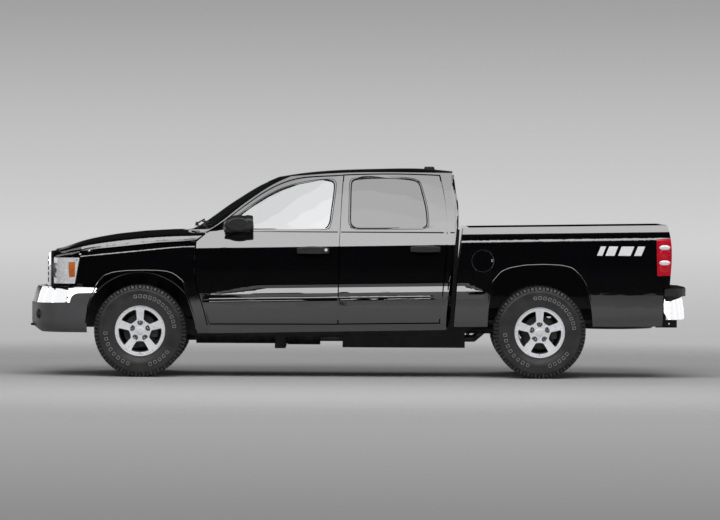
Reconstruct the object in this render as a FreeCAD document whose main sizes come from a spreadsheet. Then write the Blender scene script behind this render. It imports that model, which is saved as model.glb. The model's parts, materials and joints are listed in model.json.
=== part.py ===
import FreeCAD, Part
import math
import os

# Pickup truck with a four-door cab, stored in its own frame: +Z up, front at -X, driver's side at -Y.
# The origin lies on the ground under the middle of the truck. All lengths are millimetres.

V = FreeCAD.Vector
doc = FreeCAD.newDocument("PickupTruck")

SIZES = [
    ("overall_length", 5530),
    ("half_width", 908),
    ("wheelbase", 3335),
    ("front_overhang", 946),
    ("zero_behind_front_axle", 1819),
    ("body_rake_deg", 1.07),
    ("half_track", 785),
    ("tyre_radius", 386),
    ("tyre_width", 250),
    ("tread_width", 214),
    ("rim_radius", 220),
    ("rim_bead_radius", 203),
    ("rim_barrel_radius", 192),
    ("hub_radius", 62),
    ("hub_cap_radius", 36),
    ("lug_circle_radius", 57),
    ("lug_radius", 11),
    ("spoke_count", 5),
    ("disc_radius", 150),
    ("disc_thickness", 24),
    ("kingpin_inboard", 70),
    ("kingpin_post_radius", 17),
    ("ball_joint_offset", 138),
    ("arm_thickness", 26),
    ("running_clearance", 6),
    ("seat_clearance", 0.3),
    ("rail_centre_y", 422),
    ("rail_width", 75),
    ("rail_height", 130),
    ("rail_mid_top", 470),
    ("crossmember_width", 90),
    ("door_gap", 10),
    ("door_skin", 12),
    ("door_depth", 65),
    ("door_rear_step", 22),
    ("door_front_step", 12),
    ("door_ring_depth", 95),
    ("door_ring_lap", 38),
    ("pillar_depth", 150),
    ("roof_depth", 55),
    ("glass_depth", 8),
    ("glass_thickness", 5),
    ("hinge_behind_edge", 50),
    ("strap_hinge_x", -1401),
    ("strap_hinge_y", 876),
    ("strap_eye_radius", 8),
    ("strap_depth", 22),
    ("hinge_half_width", 886),
    ("hinge_pin_radius", 4.5),
    ("hinge_eye_radius", 8.5),
    ("hinge_eye_height", 26),
    ("hinge_pocket_skin", 5),
    ("floor_height", 495),
    ("floor_thickness", 40),
    ("firewall_x", -1345),
    ("firewall_thickness", 40),
    ("panel_thickness", 22),
    ("hood_thickness", 30),
    ("wheelhouse_skirt", 112),
    ("hood_gap", 9),
    ("windscreen_bow_radius", 2250),
    ("back_bow_radius", 16000),
    ("cab_bed_gap", 33),
    ("bed_floor_height", 800),
    ("bed_floor_thickness", 50),
    ("bed_inner_half_width", 775),
    ("bed_skirt_thickness", 30),
    ("tailgate_thickness", 55),
    ("tailgate_half_width", 748),
    ("tailgate_gap", 8),
    ("wheelhouse_inner_y", 560),
    ("wheelhouse_height", 985),
    ("axle_tube_radius", 42),
    ("differential_radius", 135),
    ("drum_radius", 146),
    ("spring_y", 560),
    ("spring_width", 60),
    ("spring_thickness", 40),
    ("receiver_outer", 64),
    ("receiver_bore", 51),
    ("receiver_pin_radius", 8),
    ("fuel_door_radius", 89),
    ("fuel_door_gap", 5),
    ("fuel_door_thickness", 12),
    ("fuel_door_recess", 30),
    ("tailgate_hinge_x", 2580),
    ("tailgate_hinge_z", 822),
    ("tailgate_trunnion_radius", 9),
    ("rear_reference", 2765),
    ("steering_wheel_radius", 190),
    ("steering_rim_radius", 15),
]

sheet = doc.addObject("Spreadsheet::Sheet", "Sizes")
for row, (alias, value) in enumerate(SIZES, start=1):
    sheet.set("A%d" % row, alias)
    sheet.set("B%d" % row, str(value))
    sheet.setAlias("B%d" % row, alias)
doc.recompute()


class Values:
    """The sheet's numbers, read once after it is computed."""


S = Values()
for alias, _ in SIZES:
    setattr(S, alias, float(sheet.get(alias)))

FRONT_X = -S.overall_length / 2
REAR_X = S.overall_length / 2
FRONT_AXLE_X = FRONT_X + S.front_overhang
REAR_AXLE_X = FRONT_AXLE_X + S.wheelbase
ZERO_X = FRONT_AXLE_X + S.zero_behind_front_axle
AXLE_Z = S.tyre_radius
TAIL = REAR_X - S.rear_reference
LEFT, RIGHT = -1, 1
FAR = 1400

# Outlines are measured from the body's zero station, 1819 mm behind the front axle, and from the ground.
# Each is a chain of stretches that share their end points: two points make a straight stretch, more a curve.

CREASE_HEIGHT = [(-2700, 930), (-2320, 988), (-1900, 1031), (-1490, 1073), (-700, 1087), (0, 1100),
                 (870, 1116), (2800, 1152)]
PLAN_HALF_WIDTH = [(-2700, -260), (-2600, -165), (-2540, -118), (-2450, -72), (-2320, -36), (-2100, -10),
                   (-1850, 0), (2000, 0), (2500, -8), (2800, -16)]
SIDE_PROFILE = [(390, 46), (470, 24), (590, 7), (720, 0), (900, 4)]
CREASE_TUCK = 14
BELT_HEIGHT = 1239
BELT_TUCK = 62
RAIL_HALF_WIDTH = 662
RAIL_HEIGHT = [(-1600, 1660), (-820, 1660), (-534, 1682), (-342, 1702), (10, 1716), (450, 1719), (900, 1708)]
ROOF_HALF_WIDTH = 565
ROOF_HEIGHT = [(-1600, 1640), (-900, 1640), (-688, 1668), (-542, 1699), (-347, 1725), (10, 1746), (404, 1752),
               (647, 1746), (801, 1735), (950, 1722)]
ROOF_SIDE_DROP = 16


def along(table, x):
    """Value at station x of a line through the table's points."""
    for (x0, v0), (x1, v1) in zip(table, table[1:]):
        if x <= x1:
            return v0 + (v1 - v0) * (x - x0) / (x1 - x0)
    return table[-1][1]


def rake(x):
    return x * math.tan(math.radians(S.body_rake_deg))


def edge(points):
    if len(points) == 2:
        return Part.LineSegment(*points).toShape()
    curve = Part.BSplineCurve()
    curve.interpolate(points)
    return curve.toShape()


def closed_wire(stretches):
    return Part.Wire([edge(stretch) for stretch in stretches])


def side_wire(stretches, y, shift_x=0):
    """Closed side-view outline at the given Y, from stretches of (station, height)."""
    return closed_wire([[V(ZERO_X + shift_x + x, y, z) for x, z in s] for s in stretches])


def polygon(points):
    """Stretches of a closed polygon."""
    return [[a, b] for a, b in zip(points, points[1:] + points[:1])]


def prism(stretches, y0, y1, shift_x=0):
    """Side-view outline extruded across the truck."""
    return Part.Face(side_wire(stretches, y0, shift_x)).extrude(V(0, y1 - y0, 0))


def plan_prism(points, z0, z1):
    """Plan outline of (x, y) points extruded upwards."""
    wire = Part.makePolygon([V(x, y, z0) for x, y in points + points[:1]])
    return Part.Face(wire).extrude(V(0, 0, z1 - z0))


def block(x0, x1, y0, y1, z0, z1):
    return Part.makeBox(x1 - x0, y1 - y0, z1 - z0, V(x0, y0, z0))


def rod(start, end, radius):
    axis = end - start
    return Part.makeCylinder(radius, axis.Length, start, axis)


def mirrored(shape):
    return shape.mirror(V(0, 0, 0), V(0, 1, 0))


def fused(shapes):
    return shapes[0].multiFuse(shapes[1:]).removeSplitter()


def half_width_at(x, height, inset=0):
    """Half width of the body's outer skin at a station and height, less an inset."""
    crease = along(CREASE_HEIGHT, x)
    profile = [(z + rake(x), tuck) for z, tuck in SIDE_PROFILE] + [(crease, CREASE_TUCK)]
    profile.append((BELT_HEIGHT + rake(x), BELT_TUCK))
    return S.half_width + along(PLAN_HALF_WIDTH, x) - along(profile, height) - inset


def lower_side(x, inset):
    """Points of (half width, height) from sill to shoulder crease."""
    widest = S.half_width + along(PLAN_HALF_WIDTH, x) - inset
    points = [(widest - tuck, z + rake(x)) for z, tuck in SIDE_PROFILE]
    points.append((widest - CREASE_TUCK, along(CREASE_HEIGHT, x)))
    return points


def section(x, half_stretches, top_stretch, bottom):
    """Closed cross-section from right-hand stretches that run up the side, a top and a flat bottom."""
    def place(points):
        return [V(ZERO_X + x, y, z) for y, z in points]

    right = [place(s) for s in half_stretches]
    left = [place([(-y, z) for y, z in reversed(s)]) for s in reversed(half_stretches)]
    first = half_stretches[0][0]
    floor = place([(-first[0], bottom), (first[0], bottom)])
    return closed_wire([floor] + right + [place(top_stretch)] + left)


CAB_STATIONS = [-1620, -1250, -850, -500, -150, 250, 600, 950]


def side_solid(inset, top=1800):
    """Body between the two side skins, which run on straight above the roof, less an inset."""
    wires = []
    for x in CAB_STATIONS:
        side = lower_side(x, inset)
        belt = (S.half_width - BELT_TUCK - inset, BELT_HEIGHT + rake(x))
        rail = (RAIL_HALF_WIDTH - inset, along(RAIL_HEIGHT, x))
        slope = (belt[0] - rail[0]) / (rail[1] - belt[1])
        above = (rail[0] - slope * (top - rail[1]), top)
        wires.append(section(x, [side, [side[-1], belt], [belt, above]],
                             [above, (0, top), (-above[0], top)], side[0][1]))
    return Part.makeLoft(wires, True, False)


def cab_solid(side_inset, roof_inset, bottom=None):
    """Cab with its crowned roof, before the windscreen and the back are cut."""
    wires = []
    for x in CAB_STATIONS:
        side = lower_side(x, side_inset)
        belt = (S.half_width - BELT_TUCK - side_inset, BELT_HEIGHT + rake(x))
        rail = (RAIL_HALF_WIDTH - side_inset, along(RAIL_HEIGHT, x) - roof_inset)
        roof = along(ROOF_HEIGHT, x) - roof_inset
        shoulder = (ROOF_HALF_WIDTH - side_inset, roof - ROOF_SIDE_DROP)
        corner = ((rail[0] + shoulder[0]) / 2 + 12, (rail[1] + shoulder[1]) / 2 + 6)
        crown = [shoulder, (shoulder[0] / 2, roof - 4), (0, roof), (-shoulder[0] / 2, roof - 4),
                 (-shoulder[0], shoulder[1])]
        wires.append(section(x, [side, [side[-1], belt], [belt, rail], [rail, corner, shoulder]],
                             crown, side[0][1]))
    return Part.makeLoft(wires, True, False)


WINDSCREEN = [(-1400, 1235), (-1358, 1258), (-1222, 1349), (-1106, 1433), (-980, 1516), (-833, 1604),
              (-688, 1670), (-500, 1740)]
CAB_BACK = [(757, 390), (800, 860), (842, 1256), (838, 1459), (813, 1580), (795, 1760)]


def bowed(stretches, bow_radius, shift_x):
    """Side-view outline carried across the truck on a sheet bowed in plan."""
    wires = []
    for part in (-1, -0.5, 0, 0.5, 1):
        y = part * 950
        wires.append(side_wire(stretches, y, shift_x + y * y / 2 / bow_radius))
    return Part.makeLoft(wires, True, False)


def windscreen_cut(shift_x=0):
    """Everything ahead of the windscreen and above the cowl."""
    curve = WINDSCREEN
    return bowed([[(-1700, 1190), curve[0]], curve, [curve[-1], (-500, 2100)],
                  [(-500, 2100), (-1700, 2100)], [(-1700, 2100), (-1700, 1190)]],
                 S.windscreen_bow_radius, shift_x)


def back_cut(shift_x=0):
    """Everything behind the cab's back panel."""
    curve = CAB_BACK
    return bowed([curve, [curve[-1], (1300, 1760)], [(1300, 1760), (1300, 390)],
                  [(1300, 390), curve[0]]], -S.back_bow_radius, shift_x)


# Doors in side view.
GAP_AT_B = [(-168, 430), (-165, 815), (-156, 1137), (-151, 1232), (-137, 1520), (-125, 1702)]
FRONT_DOOR_TOP = [(-125, 1687), (-342, 1674), (-534, 1650), (-677, 1600), (-820, 1520), (-1030, 1366),
                  (-1261, 1205)]
FRONT_DOOR_EDGE = [(-1261, 1205), (-1351, 1130), (-1357, 1020), (-1351, 815), (-1334, 735), (-1287, 570),
                   (-1249, 450)]
REAR_DOOR_EDGE = [(673, 466), (691, 615), (707, 787), (733, 1107), (733, 1250), (729, 1387), (701, 1570),
                  (673, 1688)]


def front_door_outline(grow=0):
    """Front door's outline, grown all round by the given amount."""
    b = [(x - S.door_gap / 2 + grow, z) for x, z in GAP_AT_B]
    b[0] = (b[0][0], 453 - grow)
    b[-1] = (b[-1][0], 1687 + grow)
    top = [(x, z + grow * 1.1) for x, z in FRONT_DOOR_TOP]
    top[0] = b[-1]
    edge_points = [(x - grow * 1.05, z) for x, z in FRONT_DOOR_EDGE]
    edge_points[0] = (edge_points[0][0] + grow * 0.4, edge_points[0][1] + grow)
    top[-1] = edge_points[0]
    edge_points[-1] = (edge_points[-1][0], 450 - grow)
    return [b, top, edge_points[:2], edge_points[1:], [edge_points[-1], b[0]]]


def rear_door_outline(grow=0):
    b = [(x + S.door_gap / 2 - grow, z) for x, z in GAP_AT_B]
    b[0] = (b[0][0], 454 - grow)
    b[-1] = (b[-1][0], 1688 + grow)
    back = [(x + grow, z) for x, z in REAR_DOOR_EDGE]
    back[0] = (back[0][0], 466 - grow)
    back[-1] = (back[-1][0], 1688 + grow)
    top = [back[-1], (270, 1698 + grow), b[-1]]
    return [back, top, list(reversed(b)), [b[0], back[0]]]


FRONT_WINDOW = [[(-247, 1243), (-203, 1567), (-203, 1630)], [(-203, 1630), (-237, 1650), (-390, 1639), (-534, 1610),
                (-677, 1560), (-820, 1478), (-1010, 1340)], [(-1010, 1340), (-1120, 1232)], [(-1120, 1232), (-247, 1243)]]
REAR_WINDOW = [[(-70, 1247), (-62, 1640)], [(-62, 1640), (-30, 1662), (270, 1668), (440, 1662), (510, 1640)],
               [(510, 1640), (560, 1440), (574, 1253)], [(574, 1253), (-70, 1247)]]


def shrunk(stretches, amount):
    """Outline drawn in by an amount, or let out by a negative one, as a face in the plane y = 0."""
    wire = side_wire(stretches, 0).makeOffset2D(-amount, 2)
    edges = []
    for old in wire.OrderedEdges:
        count = 2 if isinstance(old.Curve, Part.Line) else 9
        edges.append(edge(old.discretize(count)))
    return Part.Face(Part.Wire(edges))


def door_layers():
    """The side solids that bound a door: skin, back of skin, inner face and pocket."""
    return (side_solid(0, 1800), side_solid(S.door_skin, 1810), side_solid(S.door_depth, 1820),
            side_solid(S.hinge_pocket_skin, 1805))


def feature(label, shape):
    """A document object holding a shaped sheet or solid."""
    obj = doc.addObject("Part::Feature", label)
    obj.Label = label
    obj.Shape = shape
    return obj


def door_hinge_x(outline_edge_x):
    return ZERO_X + outline_edge_x + S.hinge_behind_edge


def hinge_pocket(x, z, back_skin):
    """Space in the door's leading edge for the hinge on the pillar."""
    half = S.hinge_eye_height / 2 + 4
    return block(x - 120, x + S.hinge_eye_radius + 8, -FAR, 0, z - half, z + half).common(back_skin)


def door_strap(z):
    """Strap of a front door: eye ahead of the door, arm inwards past the fender's edge, root on the door's inside."""
    x, y = ZERO_X + S.strap_hinge_x, -S.strap_hinge_y
    radius = S.strap_eye_radius
    z0, z1 = z - S.strap_depth / 2, z + S.strap_depth / 2
    eye = rod(V(x, y, z0), V(x, y, z1), radius)
    arm = block(x - radius, x + radius, y, y + 50, z0, z1)
    reach = block(x - radius, x + 110, y + 38, y + 50, z0, z1)
    root = block(x + 70, x + 110, y + 5, y + 50, z0, z1)
    bore = rod(V(x, y, z0 - 1), V(x, y, z1 + 1), S.hinge_pin_radius + S.seat_clearance)
    return fused([eye, arm, reach, root]).cut(bore)


def strap_lugs(z):
    """Pillar-side lugs above and below a front door's strap, with their pin."""
    x, y = ZERO_X + S.strap_hinge_x, -S.strap_hinge_y
    radius = S.strap_eye_radius
    near = S.strap_depth / 2 + 1
    far = near + 10
    pieces = [rod(V(x, y, z - far), V(x, y, z + far), S.hinge_pin_radius)]
    for z0, z1 in ((z - far, z - near), (z + near, z + far)):
        pieces.append(rod(V(x, y, z0), V(x, y, z1), radius))
        pieces.append(block(x - radius, x + radius, y, y + 72, z0, z1))
        pieces.append(block(x - radius, x + 75, y + 54, y + 72, z0, z1))
    return fused(pieces)


def make_door(outline, shifted, window, hinge_x, hinge_heights, layers):
    skin, back_of_skin, inner, pocket_skin = layers
    whole = prism(outline, -FAR, 0)
    leaf = skin.cut(inner).common(whole)
    step = back_of_skin.common(whole).cut(shifted)
    leaf = leaf.cut(step).cut(prism(window, -FAR, 0))
    if hinge_x is None:
        ahead = prism(outline, -FAR - 1, 1, S.door_front_step)
        low = block(ZERO_X - 1500, ZERO_X, -FAR, 0, 300, 1200)
        leaf = leaf.cut(back_of_skin.common(whole).common(low).cut(ahead))
        return fused([largest(leaf)] + [door_strap(z) for z in hinge_heights])
    for z in hinge_heights:
        leaf = leaf.cut(hinge_pocket(hinge_x, z, pocket_skin))
        half = S.hinge_eye_height / 2 + 30
        bore = rod(V(hinge_x, -S.hinge_half_width, z - half), V(hinge_x, -S.hinge_half_width, z + half),
                   S.hinge_pin_radius + S.seat_clearance)
        leaf = leaf.cut(bore)
    return leaf


FRONT_HINGES = (805, 930)
REAR_HINGES = (620, 930)
HINGE_ARM = 110


def door_glass(window, outer, inner):
    pane = shrunk(window, S.seat_clearance)
    return outer.cut(inner).common(pane.extrude(V(0, -FAR, 0)))


def hinge_bracket(x, z, reach):
    """Pillar-side eye, arm, foot and pin of one door hinge; the foot reaches forward to the pillar."""
    half = S.hinge_eye_height / 2
    y = -S.hinge_half_width
    eye = rod(V(x, y, z - half), V(x, y, z + half), S.hinge_eye_radius)
    arm = block(x - S.hinge_eye_radius, x + S.hinge_eye_radius, y, y + HINGE_ARM, z - half, z + half)
    foot = block(x - reach, x + S.hinge_eye_radius, y + HINGE_ARM - 30, y + HINGE_ARM, z - half, z + half)
    pin = rod(V(x, y, z - half - 26), V(x, y, z + half + 26), S.hinge_pin_radius)
    return fused([eye, arm, foot, pin])


def largest(shape):
    return max(shape.Solids, key=lambda s: s.Volume)


def build_doors():
    layers = door_layers()
    glass_outer = side_solid(S.glass_depth, 1830)
    glass_inner = side_solid(S.glass_depth + S.glass_thickness, 1840)
    made = {}
    rear_hinge_x = door_hinge_x(GAP_AT_B[1][0] + S.door_gap / 2)
    doors = (("front", front_door_outline(), FRONT_WINDOW, None, FRONT_HINGES),
             ("rear", rear_door_outline(), REAR_WINDOW, rear_hinge_x, REAR_HINGES))
    for name, outline, window, hinge_x, heights in doors:
        shifted = prism(outline, -FAR - 1, 1, -S.door_rear_step)
        leaf = largest(make_door(outline, shifted, window, hinge_x, heights, layers))
        pane = largest(door_glass(window, glass_outer, glass_inner))
        made["door_%s_left" % name] = leaf
        made["door_%s_right" % name] = mirrored(leaf)
        made["glass_%s_left" % name] = pane
        made["glass_%s_right" % name] = mirrored(pane)
    return made


def cab_shell():
    outer = cab_solid(0, 0)
    inner = cab_solid(S.pillar_depth, S.roof_depth)
    room = inner.cut(windscreen_cut(90)).cut(back_cut(-60))
    front = ZERO_X + S.firewall_x
    room = room.common(block(front + S.firewall_thickness, ZERO_X + 900, -FAR, FAR, S.floor_height + S.floor_thickness,
                             2000))
    shell = outer.cut(room).cut(windscreen_cut()).cut(back_cut())
    ring = side_solid(S.door_ring_depth, 1850)
    for outline in (front_door_outline(S.door_gap), rear_door_outline(S.door_gap)):
        shell = shell.cut(prism(outline, -FAR, FAR).cut(ring))
    forward = block(ZERO_X - 1700, ZERO_X - 1240, -FAR, FAR, 300, 1300).cut(ring)
    a_pillar_side = prism(polygon([(-1700, 300), (-1240, 300), (-1240, 1215), (-1700, 1215)]), -FAR, FAR)
    shell = shell.cut(forward.common(a_pillar_side))
    within = side_solid(S.pillar_depth + 10, 1870)
    for outline in (front_door_outline(), rear_door_outline()):
        shell = shell.cut(door_aperture(outline, S.door_ring_lap).cut(within))
    below = block(ZERO_X - 1700, ZERO_X + 1000, -700, 700, 300, S.floor_height)
    ahead = block(ZERO_X - 1700, front, -FAR, FAR, 300, 1150)
    shell = shell.cut(below).cut(ahead).cut(hood_rear_cut(S.hood_gap))
    front_glass = front_view_prism([(-700, 1262), (700, 1262), (560, 1632), (-560, 1632)], -1600, -500)
    rear_glass = front_view_prism([(-590, 1290), (590, 1290), (520, 1610), (-520, 1610)], 600, 1000)
    shell = shell.cut(front_glass).cut(rear_glass)
    brackets = [strap_lugs(z) for z in FRONT_HINGES]
    brackets += [hinge_bracket(door_hinge_x(GAP_AT_B[1][0] + S.door_gap / 2), z, 60) for z in REAR_HINGES]
    brackets += [mirrored(b) for b in brackets]
    return largest(fused([largest(shell)] + brackets))


def door_aperture(outline, lap):
    """Opening inside a door, smaller than the door all round."""
    face = shrunk(outline, lap)
    return face.extrude(V(0, -FAR, 0)).fuse(face.extrude(V(0, FAR, 0)))


def front_view_prism(points, x0, x1):
    wire = Part.makePolygon([V(ZERO_X + x0, y, z) for y, z in points + points[:1]])
    return Part.Face(wire).extrude(V(x1 - x0, 0, 0))


def cab_glass():
    """Windscreen and rear window as two solids."""
    wind = largest(windscreen_cut(14).cut(windscreen_cut(4)))
    hole = front_view_prism([(-699, 1263), (699, 1263), (559, 1631), (-559, 1631)], -1600, -500)
    rear = largest(back_cut(-12).cut(back_cut(-6)))
    rear_hole = front_view_prism([(-589, 1291), (589, 1291), (519, 1609), (-519, 1609)], 600, 1000)
    return Part.makeCompound([largest(wind.common(hole)), largest(rear.common(rear_hole))])


# Front end.
HOOD_TOP = [(-2700, 960), (-2600, 1030), (-2545, 1058), (-2428, 1098), (-2285, 1141), (-2091, 1181), (-1831, 1212),
            (-1572, 1228), (-1150, 1236)]
HOOD_GAP_HEIGHT = [(-2700, 940), (-2600, 985), (-2496, 1012), (-2283, 1047), (-2158, 1066), (-1658, 1119),
                   (-1490, 1128), (-1150, 1150)]
FRONT_STATIONS = [-2640 + 120 * step for step in range(13)]
HOOD_REAR_CENTRE = -1494
HOOD_REAR_BOW = 1392


def front_solid(inset, top_inset):
    wires = []
    for x in FRONT_STATIONS:
        side = lower_side(x, inset)
        gap_z = along(HOOD_GAP_HEIGHT, x)
        widest = S.half_width + along(PLAN_HALF_WIDTH, x) - inset
        gap = (widest - 31, gap_z - top_inset * 0.3)
        top = along(HOOD_TOP, x) - top_inset
        hollow_rise = gap[1] - side[-1][1]
        hollow = [side[-1], (widest - 24, side[-1][1] + 0.22 * hollow_rise),
                  (widest - 28, side[-1][1] + 0.55 * hollow_rise), gap]
        rise = top - gap[1]
        shoulder = (widest - 150, gap[1] + 0.7 * rise)
        flank = [gap, (widest - 43, gap[1] + 0.26 * rise), (widest - 62, gap[1] + 0.48 * rise),
                 (widest - 102, gap[1] + 0.62 * rise), shoulder]
        crown = [shoulder, (shoulder[0] * 0.55, top - 0.13 * rise), (0, top),
                 (-shoulder[0] * 0.55, top - 0.13 * rise), (-shoulder[0], shoulder[1])]
        wires.append(section(x, [side, hollow, flank], crown, side[0][1]))
    return Part.makeLoft(wires, True, False)


def hood_rear_cut(shift, bottom=1100):
    """Everything ahead of the hood's rear edge, which curves back at the sides, above the cowl."""
    points = []
    for part in (-1, -0.75, -0.5, -0.25, 0, 0.25, 0.5, 0.75, 1):
        y = part * 1000
        points.append(V(ZERO_X + HOOD_REAR_CENTRE + y * y / 2 / HOOD_REAR_BOW + shift, y, bottom))
    front = ZERO_X - 2900
    wires = Part.Wire([edge(points), edge([points[-1], V(front, 1000, bottom)]),
                       edge([V(front, 1000, bottom), V(front, -1000, bottom)]),
                       edge([V(front, -1000, bottom), points[0]])])
    return Part.Face(wires).extrude(V(0, 0, 1500 - bottom))


def hood():
    sheet_solid = front_solid(0, 0).cut(front_solid(S.hood_thickness, S.hood_thickness))
    above = prism(polygon([(-2548, 1000), (-2338, 1004), (-2323, 1047), (-2158, 1072), (-1658, 1125), (-1490, 1134),
                           (-1362, 1145), (-1275, 1203), (-1225, 1240), (-1225, 1400), (-2548, 1400)]), -FAR, FAR)
    return largest(sheet_solid.common(above).common(hood_rear_cut(0, 900)))


ARCH_FRONT = [[(-2270, 340), (-2262, 450), (-2244, 597), (-2215, 680), (-2168, 776)],
              [(-2168, 776), (-2110, 840), (-2034, 866), (-1932, 878), (-1803, 882), (-1676, 881), (-1600, 873),
               (-1548, 854), (-1497, 816), (-1466, 785)],
              [(-1466, 785), (-1420, 640), (-1381, 519), (-1349, 340)], [(-1349, 340), (-2270, 340)]]
FENDER_EDGE = [(-1367, 1120), (-1367, 1020), (-1361, 815), (-1344, 735), (-1297, 570), (-1259, 396)]
FENDER = [[(-2311, 1036), (-2158, 1060)], [(-2158, 1060), (-1658, 1113)], [(-1658, 1113), (-1490, 1122)],
          [(-1490, 1122), (-1367, 1133)], [(-1367, 1133), (-1367, 1120)], FENDER_EDGE, [(-1259, 396), (-1380, 396)],
          [(-1380, 396), (-2160, 776)], [(-2160, 776), (-2358, 776)], [(-2358, 776), (-2322, 998)],
          [(-2322, 998), (-2311, 1036)]]


def fender():
    """Left front fender with the ledge that carries the hood, and room behind its edge for the door straps."""
    t = S.panel_thickness
    skin = front_solid(0, 0).cut(front_solid(t, t * 0.5))
    skin = skin.common(prism(FENDER, -FAR, 0)).cut(prism(ARCH_FRONT, -FAR, 0))
    firewall = ZERO_X + S.firewall_x
    corners = [(ZERO_X - 2440, -640), (ZERO_X - 2440, -712), (ZERO_X - 2312, -796), (ZERO_X - 2312, -FAR),
               (firewall - 75, -FAR), (firewall - 75, -780), (firewall, -780), (firewall, -640)]
    ledge = plan_prism(corners, 930, 950).common(front_solid(t / 2, t / 2))
    room = [rod(V(ZERO_X + S.strap_hinge_x, -S.strap_hinge_y, z - 26), V(ZERO_X + S.strap_hinge_x, -S.strap_hinge_y, z + 26),
                S.strap_eye_radius + S.door_gap / 2) for z in FRONT_HINGES]
    return largest(fused([largest(skin), largest(ledge)]).cut(room[0]).cut(room[1]))


def liner():
    """Left wheelhouse lining, a half barrel round the front wheel."""
    outer = rod(V(FRONT_AXLE_X, -920, AXLE_Z), V(FRONT_AXLE_X, -560, AXLE_Z), 492)
    inner = rod(V(FRONT_AXLE_X, -930, AXLE_Z), V(FRONT_AXLE_X, -550, AXLE_Z), 484)
    upper = block(FRONT_AXLE_X - 360, FRONT_AXLE_X + 440, -FAR, 0, AXLE_Z + 180, 1000)
    reach = S.panel_thickness + S.seat_clearance
    return largest(outer.cut(inner).common(upper).common(front_solid(reach, reach)))


def mirror_pair(shape):
    return Part.makeCompound([shape, mirrored(shape)])


BUMPER_PLAN = [(-2173, 904), (-2400, 886), (-2540, 838), (-2640, 740), (-2715, 480), (-2765, 0)]


def bumper_shell(plan, depth, z0, z1, shift_x=0):
    """Wall of the given depth behind a plan curve given from the corner to the middle."""
    def full(points):
        right = [V(ZERO_X + shift_x + x, y, z0) for x, y in points]
        left = [V(ZERO_X + shift_x + x, -y, z0) for x, y in reversed(points)]
        return right + left[1:]

    outer = full(plan)
    inner_points = []
    for x, y in plan:
        run = (x - plan[0][0]) / (plan[-1][0] - plan[0][0])
        inner_points.append((x + depth * min(1, run * 1.6), y - abs(depth) * min(1, 1.6 * (1 - run))))
    inner = full(inner_points)
    wire = Part.Wire([edge(outer), edge([outer[-1], inner[-1]]), edge(list(reversed(inner))),
                      edge([inner[0], outer[0]])])
    return Part.Face(wire).extrude(V(0, 0, z1 - z0))


FRONT_CHROME = [[(-2800, 748), (-2178, 748)], [(-2178, 748), (-2190, 702)], [(-2190, 702), (-2350, 698)],
                [(-2350, 698), (-2392, 672), (-2408, 619)], [(-2408, 619), (-2800, 612)], [(-2800, 612), (-2800, 748)]]
BUMPER_SEAM = 2
RAIL_NOSE = -2640


def nose_horns(inner_y, outer_y, x0, z0, z1):
    """Pair of blocks that carry a bumper on the front ends of the frame rails."""
    left = block(ZERO_X + x0, ZERO_X + RAIL_NOSE - S.seat_clearance, -outer_y, -inner_y, z0, z1)
    return [left, mirrored(left)]


def front_bumper():
    shell = bumper_shell(BUMPER_PLAN, 62, 600, 760)
    bright = largest(shell.common(prism(FRONT_CHROME, -FAR, FAR)))
    horns = nose_horns(388, 418, -2658, 440, 700) + nose_horns(388, 418, -2690, 640, 700)
    return largest(fused([bright] + horns))


def front_fascia():
    shell = bumper_shell(BUMPER_PLAN, 58, 360, 720)
    side = [[(-2800, 609), (-2412, 616)], [(-2412, 616), (-2396, 668), (-2352, 695)], [(-2352, 695), (-2193, 699)],
            [(-2193, 699), (-2248, 597), (-2266, 450), (-2272, 370)], [(-2272, 370), (-2700, 370)],
            [(-2700, 370), (-2800, 450)], [(-2800, 450), (-2800, 609)]]
    chrome = prism(FRONT_CHROME, -FAR, FAR, BUMPER_SEAM).translated(V(0, 0, -BUMPER_SEAM))
    cover = largest(shell.common(prism(side, -FAR, FAR)).cut(chrome))
    return largest(fused([cover] + nose_horns(424, 454, -2690, 440, 520)))


def grille():
    plan = [(-2520, 490), (-2570, 488), (-2600, 440), (-2622, 240), (-2634, 0)]
    shell = bumper_shell(plan, 70, 740, 1060)
    side = [[(-2572, 1046), (-2606, 1016), (-2634, 900), (-2646, 752)], [(-2646, 752), (-2520, 752)],
            [(-2520, 752), (-2520, 980)], [(-2520, 980), (-2554, 980)], [(-2554, 980), (-2554, 1046)],
            [(-2554, 1046), (-2572, 1046)]]
    body = shell.common(prism(side, -FAR, FAR))
    hole = front_view_prism([(-430, 782), (430, 782), (430, 1012), (-430, 1012)], -2800, -2400)
    frame = body.cut(hole)
    bars = []
    for z in (828, 874, 920, 966):
        bars.append(body.common(block(ZERO_X - 2800, ZERO_X - 2400, -431, 431, z - 8, z + 8)))
    for y in (-215, 0, 215):
        bars.append(body.common(block(ZERO_X - 2800, ZERO_X - 2400, y - 7, y + 7, 781, 1013)))
    return largest(fused([largest(frame)] + [largest(b) for b in bars]))


HEADLAMP = [[(-2328, 992), (-2600, 992)], [(-2600, 992), (-2600, 776)], [(-2600, 776), (-2366, 776)],
            [(-2366, 776), (-2328, 992)]]
LAMP_PLAN = [(-2318, 872), (-2440, 838), (-2510, 790), (-2545, 700), (-2558, 496)]


def headlamp():
    """Left headlamp, wrapping round the corner of the body."""
    outer = [V(ZERO_X + x, -y, 770) for x, y in LAMP_PLAN]
    back = [V(ZERO_X - 2440.3, -496, 770), V(ZERO_X - 2440.3, -720, 770), V(ZERO_X - 2318, -800, 770)]
    wire = Part.Wire([edge(outer), edge([outer[-1], back[0]]), edge([back[0], back[1]]),
                      edge([back[1], back[2]]), edge([back[2], outer[0]])])
    solid = Part.Face(wire).extrude(V(0, 0, 260))
    return largest(solid.common(prism(HEADLAMP, -FAR, 0)))


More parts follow.
